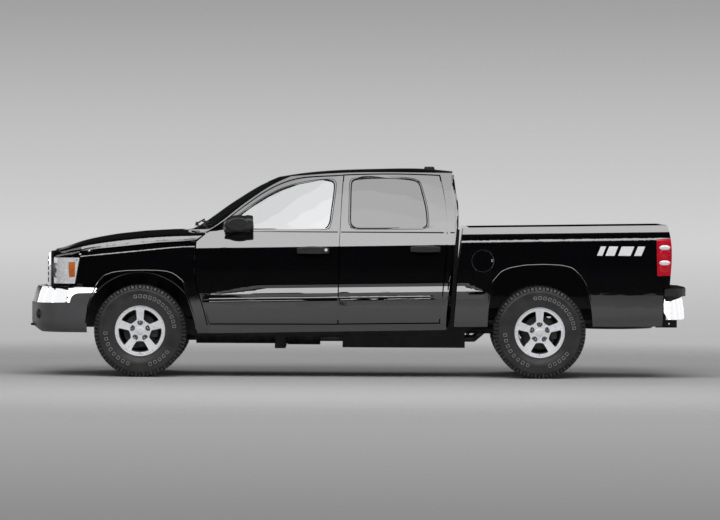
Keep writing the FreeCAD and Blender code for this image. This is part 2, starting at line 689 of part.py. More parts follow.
# Load bed. Its cross sills stand on the frame rails at these stations and rail heights.
BED_SILLS = [(1150, 640), (1895, 640), (2400, 626.1)]
BED_RAIL_TOP = [(873, 1257), (2570, 1285)]
BED_STATIONS = [780 + 240 * step for step in range(9)]
ARCH_REAR = [[(1079, 340), (1084, 528), (1098, 662), (1127, 795)],
             [(1127, 795), (1203, 885), (1271, 915), (1395, 938), (1538, 944), (1682, 939), (1778, 917),
              (1844, 855), (1893, 778)], [(1893, 778), (1931, 665), (1950, 550), (1964, 340)],
             [(1964, 340), (1079, 340)]]


TAIL_LAMP = [[(2486, 1166), (2640, 1182)], [(2640, 1182), (2640, 866)], [(2640, 866), (2494, 862)],
             [(2494, 862), (2486, 1166)]]
TAIL_LAMP_ROOM = [[(2485, 1167), (2650, 1184)], [(2650, 1184), (2650, 864)], [(2650, 864), (2493, 861)],
                  [(2493, 861), (2485, 1167)]]
LAMP_WALL = 22


def lamp_room(outline):
    """Left corner of the bed that the tail lamp fills."""
    inner = S.tailgate_half_width + S.tailgate_gap + LAMP_WALL
    return prism(outline, -FAR, -inner, TAIL)


def bed_solid(inset, rail_drop=0):
    wires = []
    for x in BED_STATIONS:
        side = lower_side(x, inset)
        widest = S.half_width + along(PLAN_HALF_WIDTH, x) - inset
        rail = 1257 + (x - 873) * 28 / 1697 - rail_drop
        crease_z = side[-1][1]
        groove = (widest - 36, rail - 59)
        hollow = [side[-1], (widest - 25, crease_z + 13), (widest - 33, crease_z + 34), groove]
        lip = (widest - 31, rail - 55)
        top = (widest - 54, rail)
        wires.append(section(x, [side, hollow, [groove, lip], [lip, top]],
                             [top, (0, rail), (-top[0], rail)], side[0][1]))
    return Part.makeLoft(wires, True, False)


def bed_side_outline():
    rear = TAIL
    return [[(800, 430), (846, 1000), (877, 1300)], [(877, 1300), (rear + 2571, 1300)],
            [(rear + 2571, 1300), (rear + 2600, 1205), (rear + 2615, 1010), (rear + 2604, 840), (rear + 2598, 764)],
            [(rear + 2598, 764), (rear + 2546, 764)], [(rear + 2546, 764), (rear + 2540, 440)],
            [(rear + 2540, 440), (800, 430)]]


def bed():
    outer = bed_solid(0).common(prism(bed_side_outline(), -FAR, FAR))
    floor = S.bed_floor_height
    inner_y = S.bed_inner_half_width
    rear = ZERO_X + TAIL + 2545
    gate_y = S.tailgate_half_width + S.tailgate_gap
    load = block(ZERO_X + 925, rear - 30, -inner_y, inner_y, floor, 1500)
    load = load.fuse(block(rear - 31, rear + 455, -gate_y, gate_y, floor, 1500))
    gate = block(rear, rear + 455, -gate_y, gate_y, floor - 200, 1500)
    under = bed_solid(S.bed_skirt_thickness, 5).common(
        block(ZERO_X + 700, ZERO_X + 2900, -FAR, FAR, 300, floor - S.bed_floor_thickness))
    tub = outer.cut(load).cut(gate).cut(under)
    houses = []
    for s in (LEFT, RIGHT):
        y0, y1 = sorted((s * S.wheelhouse_inner_y, s * (inner_y + 20)))
        houses.append(block(REAR_AXLE_X - 440, REAR_AXLE_X + 440, y0, y1, floor - S.wheelhouse_skirt,
                            S.wheelhouse_height))
    sills = []
    for x, z in BED_SILLS:
        sills.append(block(ZERO_X + x, ZERO_X + x + 60, -480, 480, z + S.seat_clearance,
                           floor - S.bed_floor_thickness + 1))
    tub = tub.multiFuse(houses + sills)
    wells = prism(ARCH_REAR, -FAR, -S.wheelhouse_inner_y - 15).fuse(
        prism(ARCH_REAR, S.wheelhouse_inner_y + 15, FAR))
    lid_x = ZERO_X + 1039
    skin_y = half_width_at(1039, 981)
    recess_y = -skin_y + S.fuel_door_recess
    recess = rod(V(lid_x, -FAR, 981), V(lid_x, recess_y, 981), S.fuel_door_radius + S.fuel_door_gap)
    seat_y = -skin_y + S.fuel_door_thickness + S.seat_clearance
    seat_ring = rod(V(lid_x, recess_y + 1, 981), V(lid_x, seat_y, 981), S.fuel_door_radius - 9)
    seat_ring = seat_ring.cut(rod(V(lid_x, recess_y, 981), V(lid_x, seat_y - 1, 981), S.fuel_door_radius - 19))
    lamp = lamp_room(TAIL_LAMP_ROOM)
    trunnion = trunnion_rod(S.tailgate_trunnion_radius + S.seat_clearance, gate_y - 1, gate_y + 42)
    shell = tub.cut(wells).cut(recess).cut(lamp).cut(mirrored(lamp)).cut(trunnion).cut(mirrored(trunnion))
    return largest(shell.fuse(seat_ring).removeSplitter())


def trunnion_rod(radius, y0, y1):
    """Left pivot of the tailgate between two distances from the middle."""
    x = ZERO_X + TAIL + S.tailgate_hinge_x
    return rod(V(x, -y1, S.tailgate_hinge_z), V(x, -y0, S.tailgate_hinge_z), radius)


def fuel_door():
    lid_x = ZERO_X + 1039
    inner_y = -half_width_at(1039, 981) + S.fuel_door_thickness
    disc = rod(V(lid_x, -FAR, 981), V(lid_x, inner_y, 981), S.fuel_door_radius)
    return largest(disc.common(bed_solid(0)))


def tailgate():
    rear = TAIL
    hw = S.tailgate_half_width
    side = [[(rear + 2553, 800), (rear + 2553, 1286)], [(rear + 2553, 1286), (rear + 2571, 1288)],
            [(rear + 2571, 1288), (rear + 2600, 1205), (rear + 2615, 1010), (rear + 2606, 800)],
            [(rear + 2606, 800), (rear + 2553, 800)]]
    pivot = trunnion_rod(S.tailgate_trunnion_radius, hw - 20, hw + S.tailgate_gap + 40)
    return largest(fused([prism(side, -hw, hw), pivot, mirrored(pivot)]))


def tail_lamp():
    """Left tail lamp, filling the corner behind the bed's side."""
    return largest(bed_solid(0).common(lamp_room(TAIL_LAMP)).common(prism(bed_side_outline(), -FAR, 0)))


STEP_UNDERSIDE = 692.2
REAR_BUMPER_PLAN = [(2556, 880), (2640, 868), (2700, 800), (2748, 520), (2765, 0)]


def rear_bumper():
    shell = bumper_shell(REAR_BUMPER_PLAN, -60, 480, 760, TAIL)
    side = [[(2556, 692), (2800, 692)], [(2800, 692), (2800, 520)], [(2800, 520), (2700, 498)],
            [(2700, 498), (2590, 500)], [(2590, 500), (2556, 560)], [(2556, 560), (2556, 692)]]
    return largest(shell.common(prism(side, -FAR, FAR, TAIL)))


def rear_step():
    """Dark step along the top of the rear bumper."""
    return largest(bumper_shell(REAR_BUMPER_PLAN, -110, STEP_UNDERSIDE, 756, TAIL))


def mirror_housing():
    """Left door mirror, a teardrop on a short foot."""
    rings = []
    for y, half_length, half_height, lift in ((-868, 62, 26, -38), (-905, 96, 52, -6), (-960, 120, 70, 0),
                                              (-1015, 112, 64, 2), (-1042, 70, 38, 4)):
        ring = Part.Ellipse(V(ZERO_X - 1000, y, 1284 + lift), half_length, half_height)
        ring.Axis = V(0, 1, 0)
        rings.append(Part.Wire([ring.toShape()]))
    head = Part.makeLoft(rings, True, False)
    foot = block(ZERO_X - 1060, ZERO_X - 960, -900, -820, 1226, 1262)
    return largest(head.fuse(foot).cut(side_solid(-S.seat_clearance, 1860)))


# Names for places that several expressions share.
FRONT_AXLE = "(Sizes.front_overhang - Sizes.overall_length / 2)"
REAR_AXLE = "(Sizes.front_overhang - Sizes.overall_length / 2 + Sizes.wheelbase)"
AXLE_HEIGHT = "Sizes.tyre_radius"
AXES = {"x": ((0, 1, 0), 90), "y": ((1, 0, 0), 90), "z": ((0, 0, 1), 0)}


def bind(obj, sizes):
    for prop, formula in sizes.items():
        obj.setExpression(prop, str(formula))
    return obj


def part_box(name, x, y, z, length, width, height):
    """Part::Box with its near corner and sides given as formulas."""
    obj = doc.addObject("Part::Box", name)
    return bind(obj, {"Placement.Base.x": x, "Placement.Base.y": y, "Placement.Base.z": z,
                      "Length": length, "Width": width, "Height": height})


def part_rod(name, axis, x, y, z, radius, height):
    """Part::Cylinder along an axis; along y it runs from its base towards -Y."""
    obj = doc.addObject("Part::Cylinder", name)
    direction, angle = AXES[axis]
    obj.Placement = FreeCAD.Placement(V(0, 0, 0), FreeCAD.Rotation(V(*direction), angle))
    return bind(obj, {"Placement.Base.x": x, "Placement.Base.y": y, "Placement.Base.z": z,
                      "Radius": radius, "Height": height})


def part_fuse(label, pieces):
    obj = doc.addObject("Part::MultiFuse", label)
    obj.Label = label
    obj.Shapes = pieces
    obj.Refine = True
    return obj


def part_cut(label, base, tool):
    obj = doc.addObject("Part::Cut", label)
    obj.Label = label
    obj.Base = base
    obj.Tool = tool
    obj.Refine = True
    return obj


def part_mirror(label, source):
    obj = doc.addObject("Part::Mirroring", label)
    obj.Label = label
    obj.Source = source
    obj.Normal = (0, 1, 0)
    obj.Base = (0, 0, 0)
    return obj


def origin_plane(body, role):
    return [f for f in body.Origin.OriginFeatures if f.Role == role][0]


def new_sketch(body, name, role, loops):
    """Sketch of closed loops of points on one of the body's origin planes."""
    sketch = body.newObject("Sketcher::SketchObject", name)
    sketch.AttachmentSupport = [(origin_plane(body, role), "")]
    sketch.MapMode = "FlatFace"
    for points in loops:
        for a, b in zip(points, points[1:] + points[:1]):
            sketch.addGeometry(Part.LineSegment(V(a[0], a[1], 0), V(b[0], b[1], 0)), False)
    return sketch


def pad_body(label, role, loops, length, base=None):
    """Body with one sketch padded evenly to both sides of its plane."""
    body = doc.addObject("PartDesign::Body", label)
    body.Label = label
    sketch = new_sketch(body, label + "_outline", role, loops)
    pad = body.newObject("PartDesign::Pad", label + "_pad")
    pad.Profile = sketch
    pad.setExpression("Length", length)
    pad.SideType = "Symmetric"
    if base is not None:
        bind(body, {"Placement.Base.x": base[0], "Placement.Base.y": base[1], "Placement.Base.z": base[2]})
    return body


def polar_pattern(body, source, name, role, count):
    pattern = body.newObject("PartDesign::PolarPattern", name)
    pattern.Originals = [source]
    pattern.Axis = (origin_plane(body, role), [""])
    pattern.Angle = 360
    pattern.setExpression("Occurrences", count)
    body.Tip = pattern
    return pattern


def turned_body(label, loop):
    """Body turned about its own Y axis from a loop of (y, radius) points."""
    body = doc.addObject("PartDesign::Body", label)
    body.Label = label
    sketch = new_sketch(body, label + "_profile", "YZ_Plane", [loop])
    turn = body.newObject("PartDesign::Revolution", label + "_turn")
    turn.Profile = sketch
    turn.ReferenceAxis = (sketch, ["H_Axis"])
    turn.Angle = 360
    return body


WHEEL_PLACES = (("front_left", FRONT_AXLE_X, LEFT), ("front_right", FRONT_AXLE_X, RIGHT),
                ("rear_left", REAR_AXLE_X, LEFT), ("rear_right", REAR_AXLE_X, RIGHT))
HUB_INNER = 39
SPINDLE_RADIUS = 25


def wheel_placement(x, side):
    turn = 0 if side == LEFT else 180
    return FreeCAD.Placement(V(x, side * S.half_track, AXLE_Z), FreeCAD.Rotation(V(0, 0, 1), turn))


def arc_window(inner, outer, half_inner, half_outer, middle):
    """Loop of a window between two radii, narrower towards the hub, centred on an angle in degrees."""
    loop = []
    for radius, half, order in ((outer, half_outer, 1), (inner, half_inner, -1)):
        for step in (-1, -0.5, 0, 0.5, 1):
            angle = math.radians(middle + order * step * half)
            loop.append((radius * math.cos(angle), radius * math.sin(angle)))
    return loop


def wheel(label, brake_radius, brake_width):
    """Spoked wheel with its hub and its brake disc or drum; the outer side faces -Y."""
    flange = S.rim_radius
    bead = S.rim_bead_radius
    barrel = S.rim_barrel_radius - 12
    inner = barrel - 8
    hub = S.hub_radius
    bore = SPINDLE_RADIUS + S.seat_clearance
    brake_y = HUB_INNER - brake_width
    loop = [(-102, flange), (-94, flange), (-90, bead), (-62, bead - 4), (-46, barrel), (36, barrel),
            (60, bead - 4), (90, bead), (94, flange), (102, flange), (102, flange - 8), (88, bead - 9),
            (58, bead - 14), (32, inner), (-30, inner), (-34, hub), (brake_y, hub), (brake_y, brake_radius),
            (HUB_INNER, brake_radius), (HUB_INNER, bore), (-12, bore), (-12, 0), (-72, 0),
            (-72, S.hub_cap_radius), (-60, S.hub_cap_radius + 4), (-58, hub + 6), (-76, inner - 30),
            (-84, inner - 4), (-92, bead - 8), (-102, flange - 8)]
    body = turned_body(label, loop)
    window = new_sketch(body, label + "_window", "XZ_Plane", [arc_window(84, 163, 13, 22, 270)])
    cut = body.newObject("PartDesign::Pocket", label + "_opening")
    cut.Profile = window
    cut.Type = "Length"
    cut.Length = 100
    cut.Reversed = True
    polar_pattern(body, cut, label + "_openings", "Y_Axis", "Sizes.spoke_count")
    return body


def tyre(label):
    bead = S.rim_bead_radius + S.seat_clearance + 0.5
    top = S.tyre_radius
    half = S.tyre_width / 2
    tread = S.tread_width / 2
    loop = [(-89, bead), (-92.5, bead + 18), (-half + 14, bead + 34), (-half, bead + 88), (-half + 4, bead + 132),
            (-tread - 4, top - 14), (-tread + 8, top - 3), (-tread + 40, top), (tread - 40, top),
            (tread - 8, top - 3), (tread + 4, top - 14), (half - 4, bead + 132), (half, bead + 88),
            (half - 14, bead + 34), (92.5, bead + 18), (89, bead)]
    return turned_body(label, loop)


def frame_rail(side):
    x = ZERO_X
    rear = TAIL
    mid = S.rail_mid_top
    top = [(x - 2640, 545), (x - 2150, 545), (x - 1980, 620), (x - 1640, 620), (x - 1400, mid), (x + 860, mid),
           (x + 1120, 640), (x + 1960, 640), (x + rear + 2590, 620)]
    bottom = [(px, pz - S.rail_height) for px, pz in reversed(top)]
    name = "rail_left" if side == LEFT else "rail_right"
    return pad_body(name, "XZ_Plane", [top + bottom], "Sizes.rail_width", ("0", "%d * Sizes.rail_centre_y" % side, "0"))


def crossmember(name, x, z, width, height, half_span=400):
    return part_box(name, x, -half_span, z, width, 2 * half_span, height)


BODY_MOUNTS = (-1200, -160, 640)
CROSS_GEARBOX_TOP = 259.7
CROSS_TANK_UNDERSIDE = 426
RAIL_FRONT_UNDERSIDE = 490
NOSE_RAIL_TOP = 545


def frame_rails():
    """Left and right rails with their body mounts and step brackets."""
    rails = []
    for side in (LEFT, RIGHT):
        near = side * S.rail_centre_y - 30
        pieces = [frame_rail(side)]
        pieces.append(part_box("step_bracket_%d" % side, ZERO_X + TAIL + 2540, near, "560", "140", "60",
                               STEP_UNDERSIDE - S.seat_clearance - 560))
        for x in BODY_MOUNTS:
            pieces.append(part_box("body_mount_%d_%d" % (side, x), ZERO_X + x, near, "Sizes.rail_mid_top - 1", "60",
                                   "60", "Sizes.floor_height - Sizes.rail_mid_top + 1 - Sizes.seat_clearance"))
        rails.append(part_fuse("rail_with_mounts_%d" % side, pieces))
    return compound("frame_rails", rails)


def crossmembers():
    """Crossmembers between and under the rails, each a solid of its own."""
    between = S.rail_centre_y - S.rail_width / 2 - S.seat_clearance
    front = [crossmember("cross_front_low", FRONT_AXLE + " - 100", "215", "200", "70", 432)]
    gearbox = [crossmember("cross_gearbox_beam", ZERO_X - 700, "232", "90", CROSS_GEARBOX_TOP - 232, 420)]
    for side in (LEFT, RIGHT):
        for end in (-1, 1):
            front.append(part_box("cross_drop_%d_%d" % (side, end), FRONT_AXLE + " + %d" % (end * 70 - 30),
                                  side * 400 - 30, "250", "60", "60", RAIL_FRONT_UNDERSIDE - S.seat_clearance - 250))
        gearbox.append(part_box("gearbox_post_%d" % side, ZERO_X - 700, side * 412 - 30, "232", "90", "60",
                                "Sizes.rail_mid_top - Sizes.rail_height - Sizes.seat_clearance - 232"))
    beams = [part_fuse("cross_front", front), part_fuse("cross_gearbox", gearbox)]
    beams.append(crossmember("cross_nose", ZERO_X - 2560, "430", "60", "90", between))
    beams.append(crossmember("cross_tank", ZERO_X + 915, CROSS_TANK_UNDERSIDE, "45", "40", between))
    beams.append(crossmember("cross_spare", REAR_AXLE + " + 560", "620.3", "160", "19", between))
    return compound("crossmembers", beams)


def radiator_support():
    """Support across the nose with the radiator and the two stops under the hood."""
    pieces = [part_box("support_low", ZERO_X - 2440, -480, NOSE_RAIL_TOP + S.seat_clearance, "30", "960", "60"),
              part_box("support_top", ZERO_X - 2440, -712, "900", "30", "1424", "30"),
              part_box("radiator", ZERO_X - 2436, -400, "590", "22", "800", "315")]
    under_hood = front_solid(S.hood_thickness, S.hood_thickness + S.seat_clearance)
    for side in (LEFT, RIGHT):
        pieces.append(part_box("support_post_%d" % side, ZERO_X - 2440, side * 440 - 30, "570", "30", "60", "340"))
        foot = V(ZERO_X - 2425, side * 500, 920)
        stop = rod(foot, foot + V(0, 0, 200), 13).common(under_hood)
        pieces.append(feature("hood_stop_%d" % side, stop))
    return part_fuse("radiator_support", pieces)


def hitch_receiver():
    """Hitch bar between the rails with its square socket and the hole for the cross pin."""
    between = S.rail_centre_y - S.rail_width / 2 - S.seat_clearance
    bar = part_box("receiver_bar", ZERO_X + TAIL + 2525, -between, "473", "66", 2 * between, "50")
    tube = part_box("receiver_tube", ZERO_X + TAIL + 2525, "-Sizes.receiver_outer / 2", "409.5", "180",
                    "Sizes.receiver_outer", "Sizes.receiver_outer")
    bore = part_box("receiver_socket", ZERO_X + TAIL + 2524, "-Sizes.receiver_bore / 2",
                    "409.5 + (Sizes.receiver_outer - Sizes.receiver_bore) / 2", "182", "Sizes.receiver_bore",
                    "Sizes.receiver_bore")
    pin_hole = part_rod("receiver_pin_hole", "y", ZERO_X + TAIL + 2640, "Sizes.receiver_outer", "441.5",
                        "Sizes.receiver_pin_radius", "2 * Sizes.receiver_outer")
    whole = part_fuse("receiver_whole", [bar, tube])
    return part_cut("hitch_receiver", whole, part_fuse("receiver_cuts", [bore, pin_hole]))


def powertrain():
    """Engine, gearbox, transfer case, shafts and front differential as plain blocks."""
    pieces = [part_box("engine_block", ZERO_X - 2150, "-260", "520", "670", "520", "520")]
    for side in (LEFT, RIGHT):
        pieces.append(part_box("engine_mount_%d" % side, FRONT_AXLE + " - 40", side * 322 - 62.2, "560", "80", "124.4", "40"))
    pieces.append(part_rod("bell_housing", "x", ZERO_X - 1480, "0", "470", "185", "110"))
    pieces.append(part_rod("gearbox", "x", ZERO_X - 1372, "0", "372", "112", "780"))
    pieces.append(part_rod("transfer_case", "x", ZERO_X - 600, "60", "355", "105", "280"))
    pieces.append(part_rod("rear_shaft", "x", ZERO_X - 325, "30", AXLE_HEIGHT, "35", REAR_AXLE + " - %s" % (ZERO_X - 325) + " - 138"))
    pieces.append(part_rod("front_shaft", "x", FRONT_AXLE + " + 100", "120", "330", "28", "1130"))
    pieces.append(part_rod("front_differential", "x", FRONT_AXLE + " - 60", "120", AXLE_HEIGHT, "95", "190"))
    pieces.append(part_rod("front_half_shafts", "y", FRONT_AXLE, "Sizes.half_track - 130", AXLE_HEIGHT, "22",
                           "2 * Sizes.half_track - 260"))
    return part_fuse("powertrain", pieces)


def rear_suspension():
    """Solid rear axle with its housing, back plates, spindles and leaf springs on their hangers."""
    reach = "Sizes.half_track"
    pieces = [part_rod("axle_tube", "y", REAR_AXLE, reach + " - 57", AXLE_HEIGHT, "Sizes.axle_tube_radius",
                       "2 * Sizes.half_track - 114")]
    pieces.append(part_rod("axle_spindles", "y", REAR_AXLE, reach + " + 10", AXLE_HEIGHT, SPINDLE_RADIUS,
                           "2 * Sizes.half_track + 20"))
    ball = doc.addObject("Part::Sphere", "axle_housing")
    bind(ball, {"Radius": "Sizes.differential_radius", "Placement.Base.x": REAR_AXLE, "Placement.Base.z": AXLE_HEIGHT})
    pieces.append(ball)
    for side in (LEFT, RIGHT):
        plate_y = "%d * (Sizes.half_track - %d) + 3" % (side, HUB_INNER + 9)
        pieces.append(part_rod("back_plate_%d" % side, "y", REAR_AXLE, plate_y, AXLE_HEIGHT, "Sizes.drum_radius - 6", "6"))
        name = "spring_left" if side == LEFT else "spring_right"
        top = S.tyre_radius + S.axle_tube_radius
        t = S.spring_thickness
        arc = [(-640, 62), (-420, 30), (-200, 6), (0, 0), (200, 6), (420, 30), (640, 62)]
        loop = [(REAR_AXLE_X + a, top + b - 2) for a, b in arc]
        loop += [(REAR_AXLE_X + a, top + b + t * (1 - abs(a) / 1100)) for a, b in reversed(arc)]
        pieces.append(pad_body(name, "XZ_Plane", [loop], "Sizes.spring_width", ("0", "%d * Sizes.spring_y" % side, "0")))
        for end in (-1, 1):
            y = "%s" % (side * (S.rail_centre_y + S.rail_width / 2 + S.seat_clearance))
            span = S.spring_y + S.spring_width / 2 - S.rail_centre_y - S.rail_width / 2
            corner = y if side == RIGHT else "%s - %s" % (y, span)
            pieces.append(part_box("hanger_%d_%d" % (side, end), REAR_AXLE + " + %d" % (end * 625 - 30), corner,
                                   "470", "60", span, "90"))
    return part_fuse("rear_suspension", pieces)


def control_arm(name, inner_y, z):
    """Left wishbone from the frame to its ball joint eye."""
    outer_y = S.half_track - S.kingpin_inboard
    x = FRONT_AXLE_X
    loop = [(x - 130, -inner_y), (x + 130, -inner_y), (x + 28, -outer_y), (x - 28, -outer_y)]
    hole = [(x - 84, -inner_y - 34), (x + 84, -inner_y - 34), (x + 22, -outer_y + 64), (x - 22, -outer_y + 64)]
    plate = pad_body(name + "_plate", "XY_Plane", [loop, hole], "Sizes.arm_thickness", ("0", "0", z))
    eye = part_rod(name + "_eye", "z", FRONT_AXLE, "Sizes.kingpin_inboard - Sizes.half_track",
                   z + " - Sizes.arm_thickness / 2", "30", "Sizes.arm_thickness")
    return [plate, eye]


def front_suspension():
    """Upper and lower wishbones and spring struts, each side one solid."""
    frame_side = S.rail_centre_y + S.rail_width / 2
    low = "Sizes.tyre_radius - Sizes.ball_joint_offset"
    high = "Sizes.tyre_radius + Sizes.ball_joint_offset"
    sides = []
    pieces = control_arm("lower_arm", 432.3, low) + control_arm("upper_arm", frame_side + 0.3, high)
    for end in (-1, 1):
        pieces.append(part_rod("strut_fork_%d" % end, "z", FRONT_AXLE + " + %d" % (end * 40), "-540", low, "10", "210"))
    pieces.append(part_box("strut_yoke", FRONT_AXLE + " - 52", -560, low + " + 195", "104", "40", "22"))
    pieces.append(part_rod("strut", "z", FRONT_AXLE, "-540", low + " + 210", "38", "190"))
    pieces.append(part_box("strut_tower", FRONT_AXLE + " - 60", -590, "636", "120", "129.7", "12"))
    pieces.append(part_box("strut_foot", FRONT_AXLE + " - 72", -590, low + " - 10", "144", "70", "20"))
    pieces.append(part_box("tower_wall", FRONT_AXLE + " - 60", -590, "560", "12", "129.7", "80"))
    left = part_fuse("front_suspension_left", pieces)
    right = part_mirror("front_suspension_right", left)
    return left, right


def knuckle(label, side):
    """Steering knuckle: kingpin post, hub carrier, spindle, steering arm and brake caliper."""
    kingpin_y = "%d * (Sizes.half_track - Sizes.kingpin_inboard)" % side
    low = "Sizes.tyre_radius - Sizes.ball_joint_offset + Sizes.arm_thickness / 2 + Sizes.seat_clearance"
    span = "2 * Sizes.ball_joint_offset - Sizes.arm_thickness - 2 * Sizes.seat_clearance"
    pieces = [part_rod(label + "_post", "z", FRONT_AXLE, kingpin_y, low, "Sizes.kingpin_post_radius", span)]
    outer = S.half_track + 10
    inner = S.half_track - HUB_INNER - 6
    hub_start = -inner + 50 if side == LEFT else inner
    pieces.append(part_rod(label + "_carrier", "y", FRONT_AXLE, hub_start, AXLE_HEIGHT, "45", "50"))
    spindle = -inner + 10 if side == LEFT else outer
    pieces.append(part_rod(label + "_spindle", "y", FRONT_AXLE, spindle, AXLE_HEIGHT, SPINDLE_RADIUS,
                           outer - inner + 10))
    y0 = -inner if side == LEFT else inner - 16
    pieces.append(part_box(label + "_caliper_inner", FRONT_AXLE + " + 20", y0, AXLE_HEIGHT + " - 30", "143", "16", "60"))
    y1 = -S.half_track - 8 if side == LEFT else inner - 16
    pieces.append(part_box(label + "_caliper_bridge", FRONT_AXLE + " + 148", y1, AXLE_HEIGHT + " - 30", "15",
                           S.half_track + 8 - inner + 16, "60"))
    return part_fuse(label, pieces)


def spare_wheel():
    body = turned_body("spare_wheel", [(-92, 204), (-110, 230), (-105, 340), (-90, 362), (-60, 370), (60, 370),
                                       (90, 362), (105, 340), (110, 230), (92, 204), (70, 196), (20, 60), (-20, 60),
                                       (-70, 196)])
    body.Placement = FreeCAD.Placement(V(REAR_AXLE_X + 630, 0, 510), FreeCAD.Rotation(V(1, 0, 0), 90))
    return body


def exhaust():
    """Exhaust with its muffler, over the rear axle and out at the right-hand corner."""
    route = [(ZERO_X - 1440, 290, 440), (ZERO_X - 1150, 290, 302), (ZERO_X + 985, 290, 302),
             (REAR_AXLE_X - 230, 290, 560), (REAR_AXLE_X + 170, 290, 560)]
    route = [V(*p) for p in route]
    pieces = []
    for a, b in zip(route, route[1:]):
        pieces.append(rod(a, b, 30))
        pieces.append(Part.makeSphere(30, b))
    pieces.append(rod(V(ZERO_X + 150, 290, 302), V(ZERO_X + 750, 290, 302), 66))
    pieces.append(block(ZERO_X - 685, ZERO_X - 625, 275, 305, CROSS_GEARBOX_TOP + S.seat_clearance, 300))
    pieces.append(block(ZERO_X + 922, ZERO_X + 952, 280, 300, 302, CROSS_TANK_UNDERSIDE - S.seat_clearance))
    return feature("exhaust", fused(pieces))


FRONT_SEAT_CUSHION = [(-520, 660), (-60, 640), (-20, 700), (-40, 815), (-120, 800), (-490, 835), (-540, 770)]
FRONT_SEAT_BACK = [(-60, 770), (10, 700), (40, 760), (130, 1240), (120, 1300), (70, 1310), (40, 1230), (-20, 900)]
HEADREST = [(74, 1330), (128, 1322), (158, 1490), (140, 1512), (104, 1508), (84, 1480)]
HEADREST_POST = [(84, 1290), (108, 1290), (122, 1345), (98, 1345)]
BENCH_CUSHION = [(240, 660), (640, 650), (660, 800), (560, 800), (270, 835), (220, 770)]
BENCH_BACK = [(575, 770), (660, 700), (700, 1200), (690, 1290), (640, 1300), (615, 1200)]
BENCH_HEADREST = [(640, 1318), (690, 1314), (704, 1440), (684, 1466), (650, 1458)]
BENCH_POST = [(652, 1280), (672, 1280), (678, 1335), (658, 1335)]


def seat_pad(name, outline, y, width):
    return pad_body(name, "XZ_Plane", [[(ZERO_X + x, z) for x, z in outline]], str(width), ("0", str(y), "0"))


def seats():
    """Two front seats and a rear bench with headrests, each one solid on its own plinth."""
    made = []
    for name, y in (("driver", -360), ("passenger", 360)):
        pieces = [seat_pad(name + "_cushion", FRONT_SEAT_CUSHION, y, 500),
                  seat_pad(name + "_back", FRONT_SEAT_BACK, y, 470),
                  seat_pad(name + "_headrest", HEADREST, y, 260),
                  seat_pad(name + "_posts", HEADREST_POST, y, 120),
                  part_box(name + "_plinth", ZERO_X - 470, y - 200, "Sizes.floor_height + Sizes.floor_thickness",
                           "330", "400", "140")]
        made.append(part_fuse(name + "_seat", pieces))
    pieces = [seat_pad("bench_cushion", BENCH_CUSHION, 0, 1240), seat_pad("bench_back", BENCH_BACK, 0, 1160),
              part_box("bench_plinth", ZERO_X + 300, -560, "Sizes.floor_height + Sizes.floor_thickness", "320",
                       "1120", "140")]
    for y in (-340, 340):
        pieces.append(seat_pad("bench_headrest_%d" % y, BENCH_HEADREST, y, 250))
        pieces.append(seat_pad("bench_posts_%d" % y, BENCH_POST, y, 110))
    made.append(part_fuse("bench", pieces))
    return made


def dashboard():
    back = S.firewall_x + S.firewall_thickness + S.seat_clearance
    side = [(back, 1120), (-1290, 1178), (-1060, 1176), (-960, 1130), (-950, 1000), (-1040, 820), (-1120, 760),
            (back, 760)]
    board = pad_body("dash_pad", "XZ_Plane", [[(ZERO_X + x, z) for x, z in side]], "1400", ("0", "0", "0"))
    console = part_box("console", ZERO_X - 1120, "-90", "Sizes.floor_height + Sizes.floor_thickness", "1000", "180", "215")
    column = doc.addObject("Part::Cylinder", "column")
    column.Radius = 34
    column.Height = 170
    tilt = 65
    column.Placement = FreeCAD.Placement(V(ZERO_X - 1040, -370, 990), FreeCAD.Rotation(V(0, 1, 0), tilt))
    return part_fuse("dashboard", [board, console, column])


STEERING_TILT = 65


def steering_wheel():
    axis = V(math.sin(math.radians(STEERING_TILT)), 0, math.cos(math.radians(STEERING_TILT)))
    base = V(ZERO_X - 1040, -370, 990) + axis * 170.3
    turn = FreeCAD.Rotation(V(0, 1, 0), STEERING_TILT)
    ring = doc.addObject("Part::Torus", "steering_ring")
    bind(ring, {"Radius1": "Sizes.steering_wheel_radius - Sizes.steering_rim_radius", "Radius2": "Sizes.steering_rim_radius"})
    ring.Placement = FreeCAD.Placement(base + axis * 50, turn)
    hub = doc.addObject("Part::Cylinder", "steering_hub")
    hub.Radius = 55
    hub.Height = 55
    hub.Placement = FreeCAD.Placement(base, turn)
    pieces = [ring, hub]
    for angle in (0, 90, 180):
        spoke = doc.addObject("Part::Box", "steering_spoke_%d" % angle)
        spoke.Length = 180
        spoke.Width = 30
        spoke.Height = 14
        inner = FreeCAD.Placement(V(0, 0, 0), FreeCAD.Rotation(V(0, 0, 1), angle - 90))
        offset = FreeCAD.Placement(V(0, -15, 34), FreeCAD.Rotation())
        spoke.Placement = FreeCAD.Placement(base, turn).multiply(inner).multiply(offset)
        pieces.append(spoke)
    return part_fuse("steering_wheel", pieces)


def compound(label, objects):
    obj = doc.addObject("Part::Compound", label)
    obj.Label = label
    obj.Links = objects
    return obj


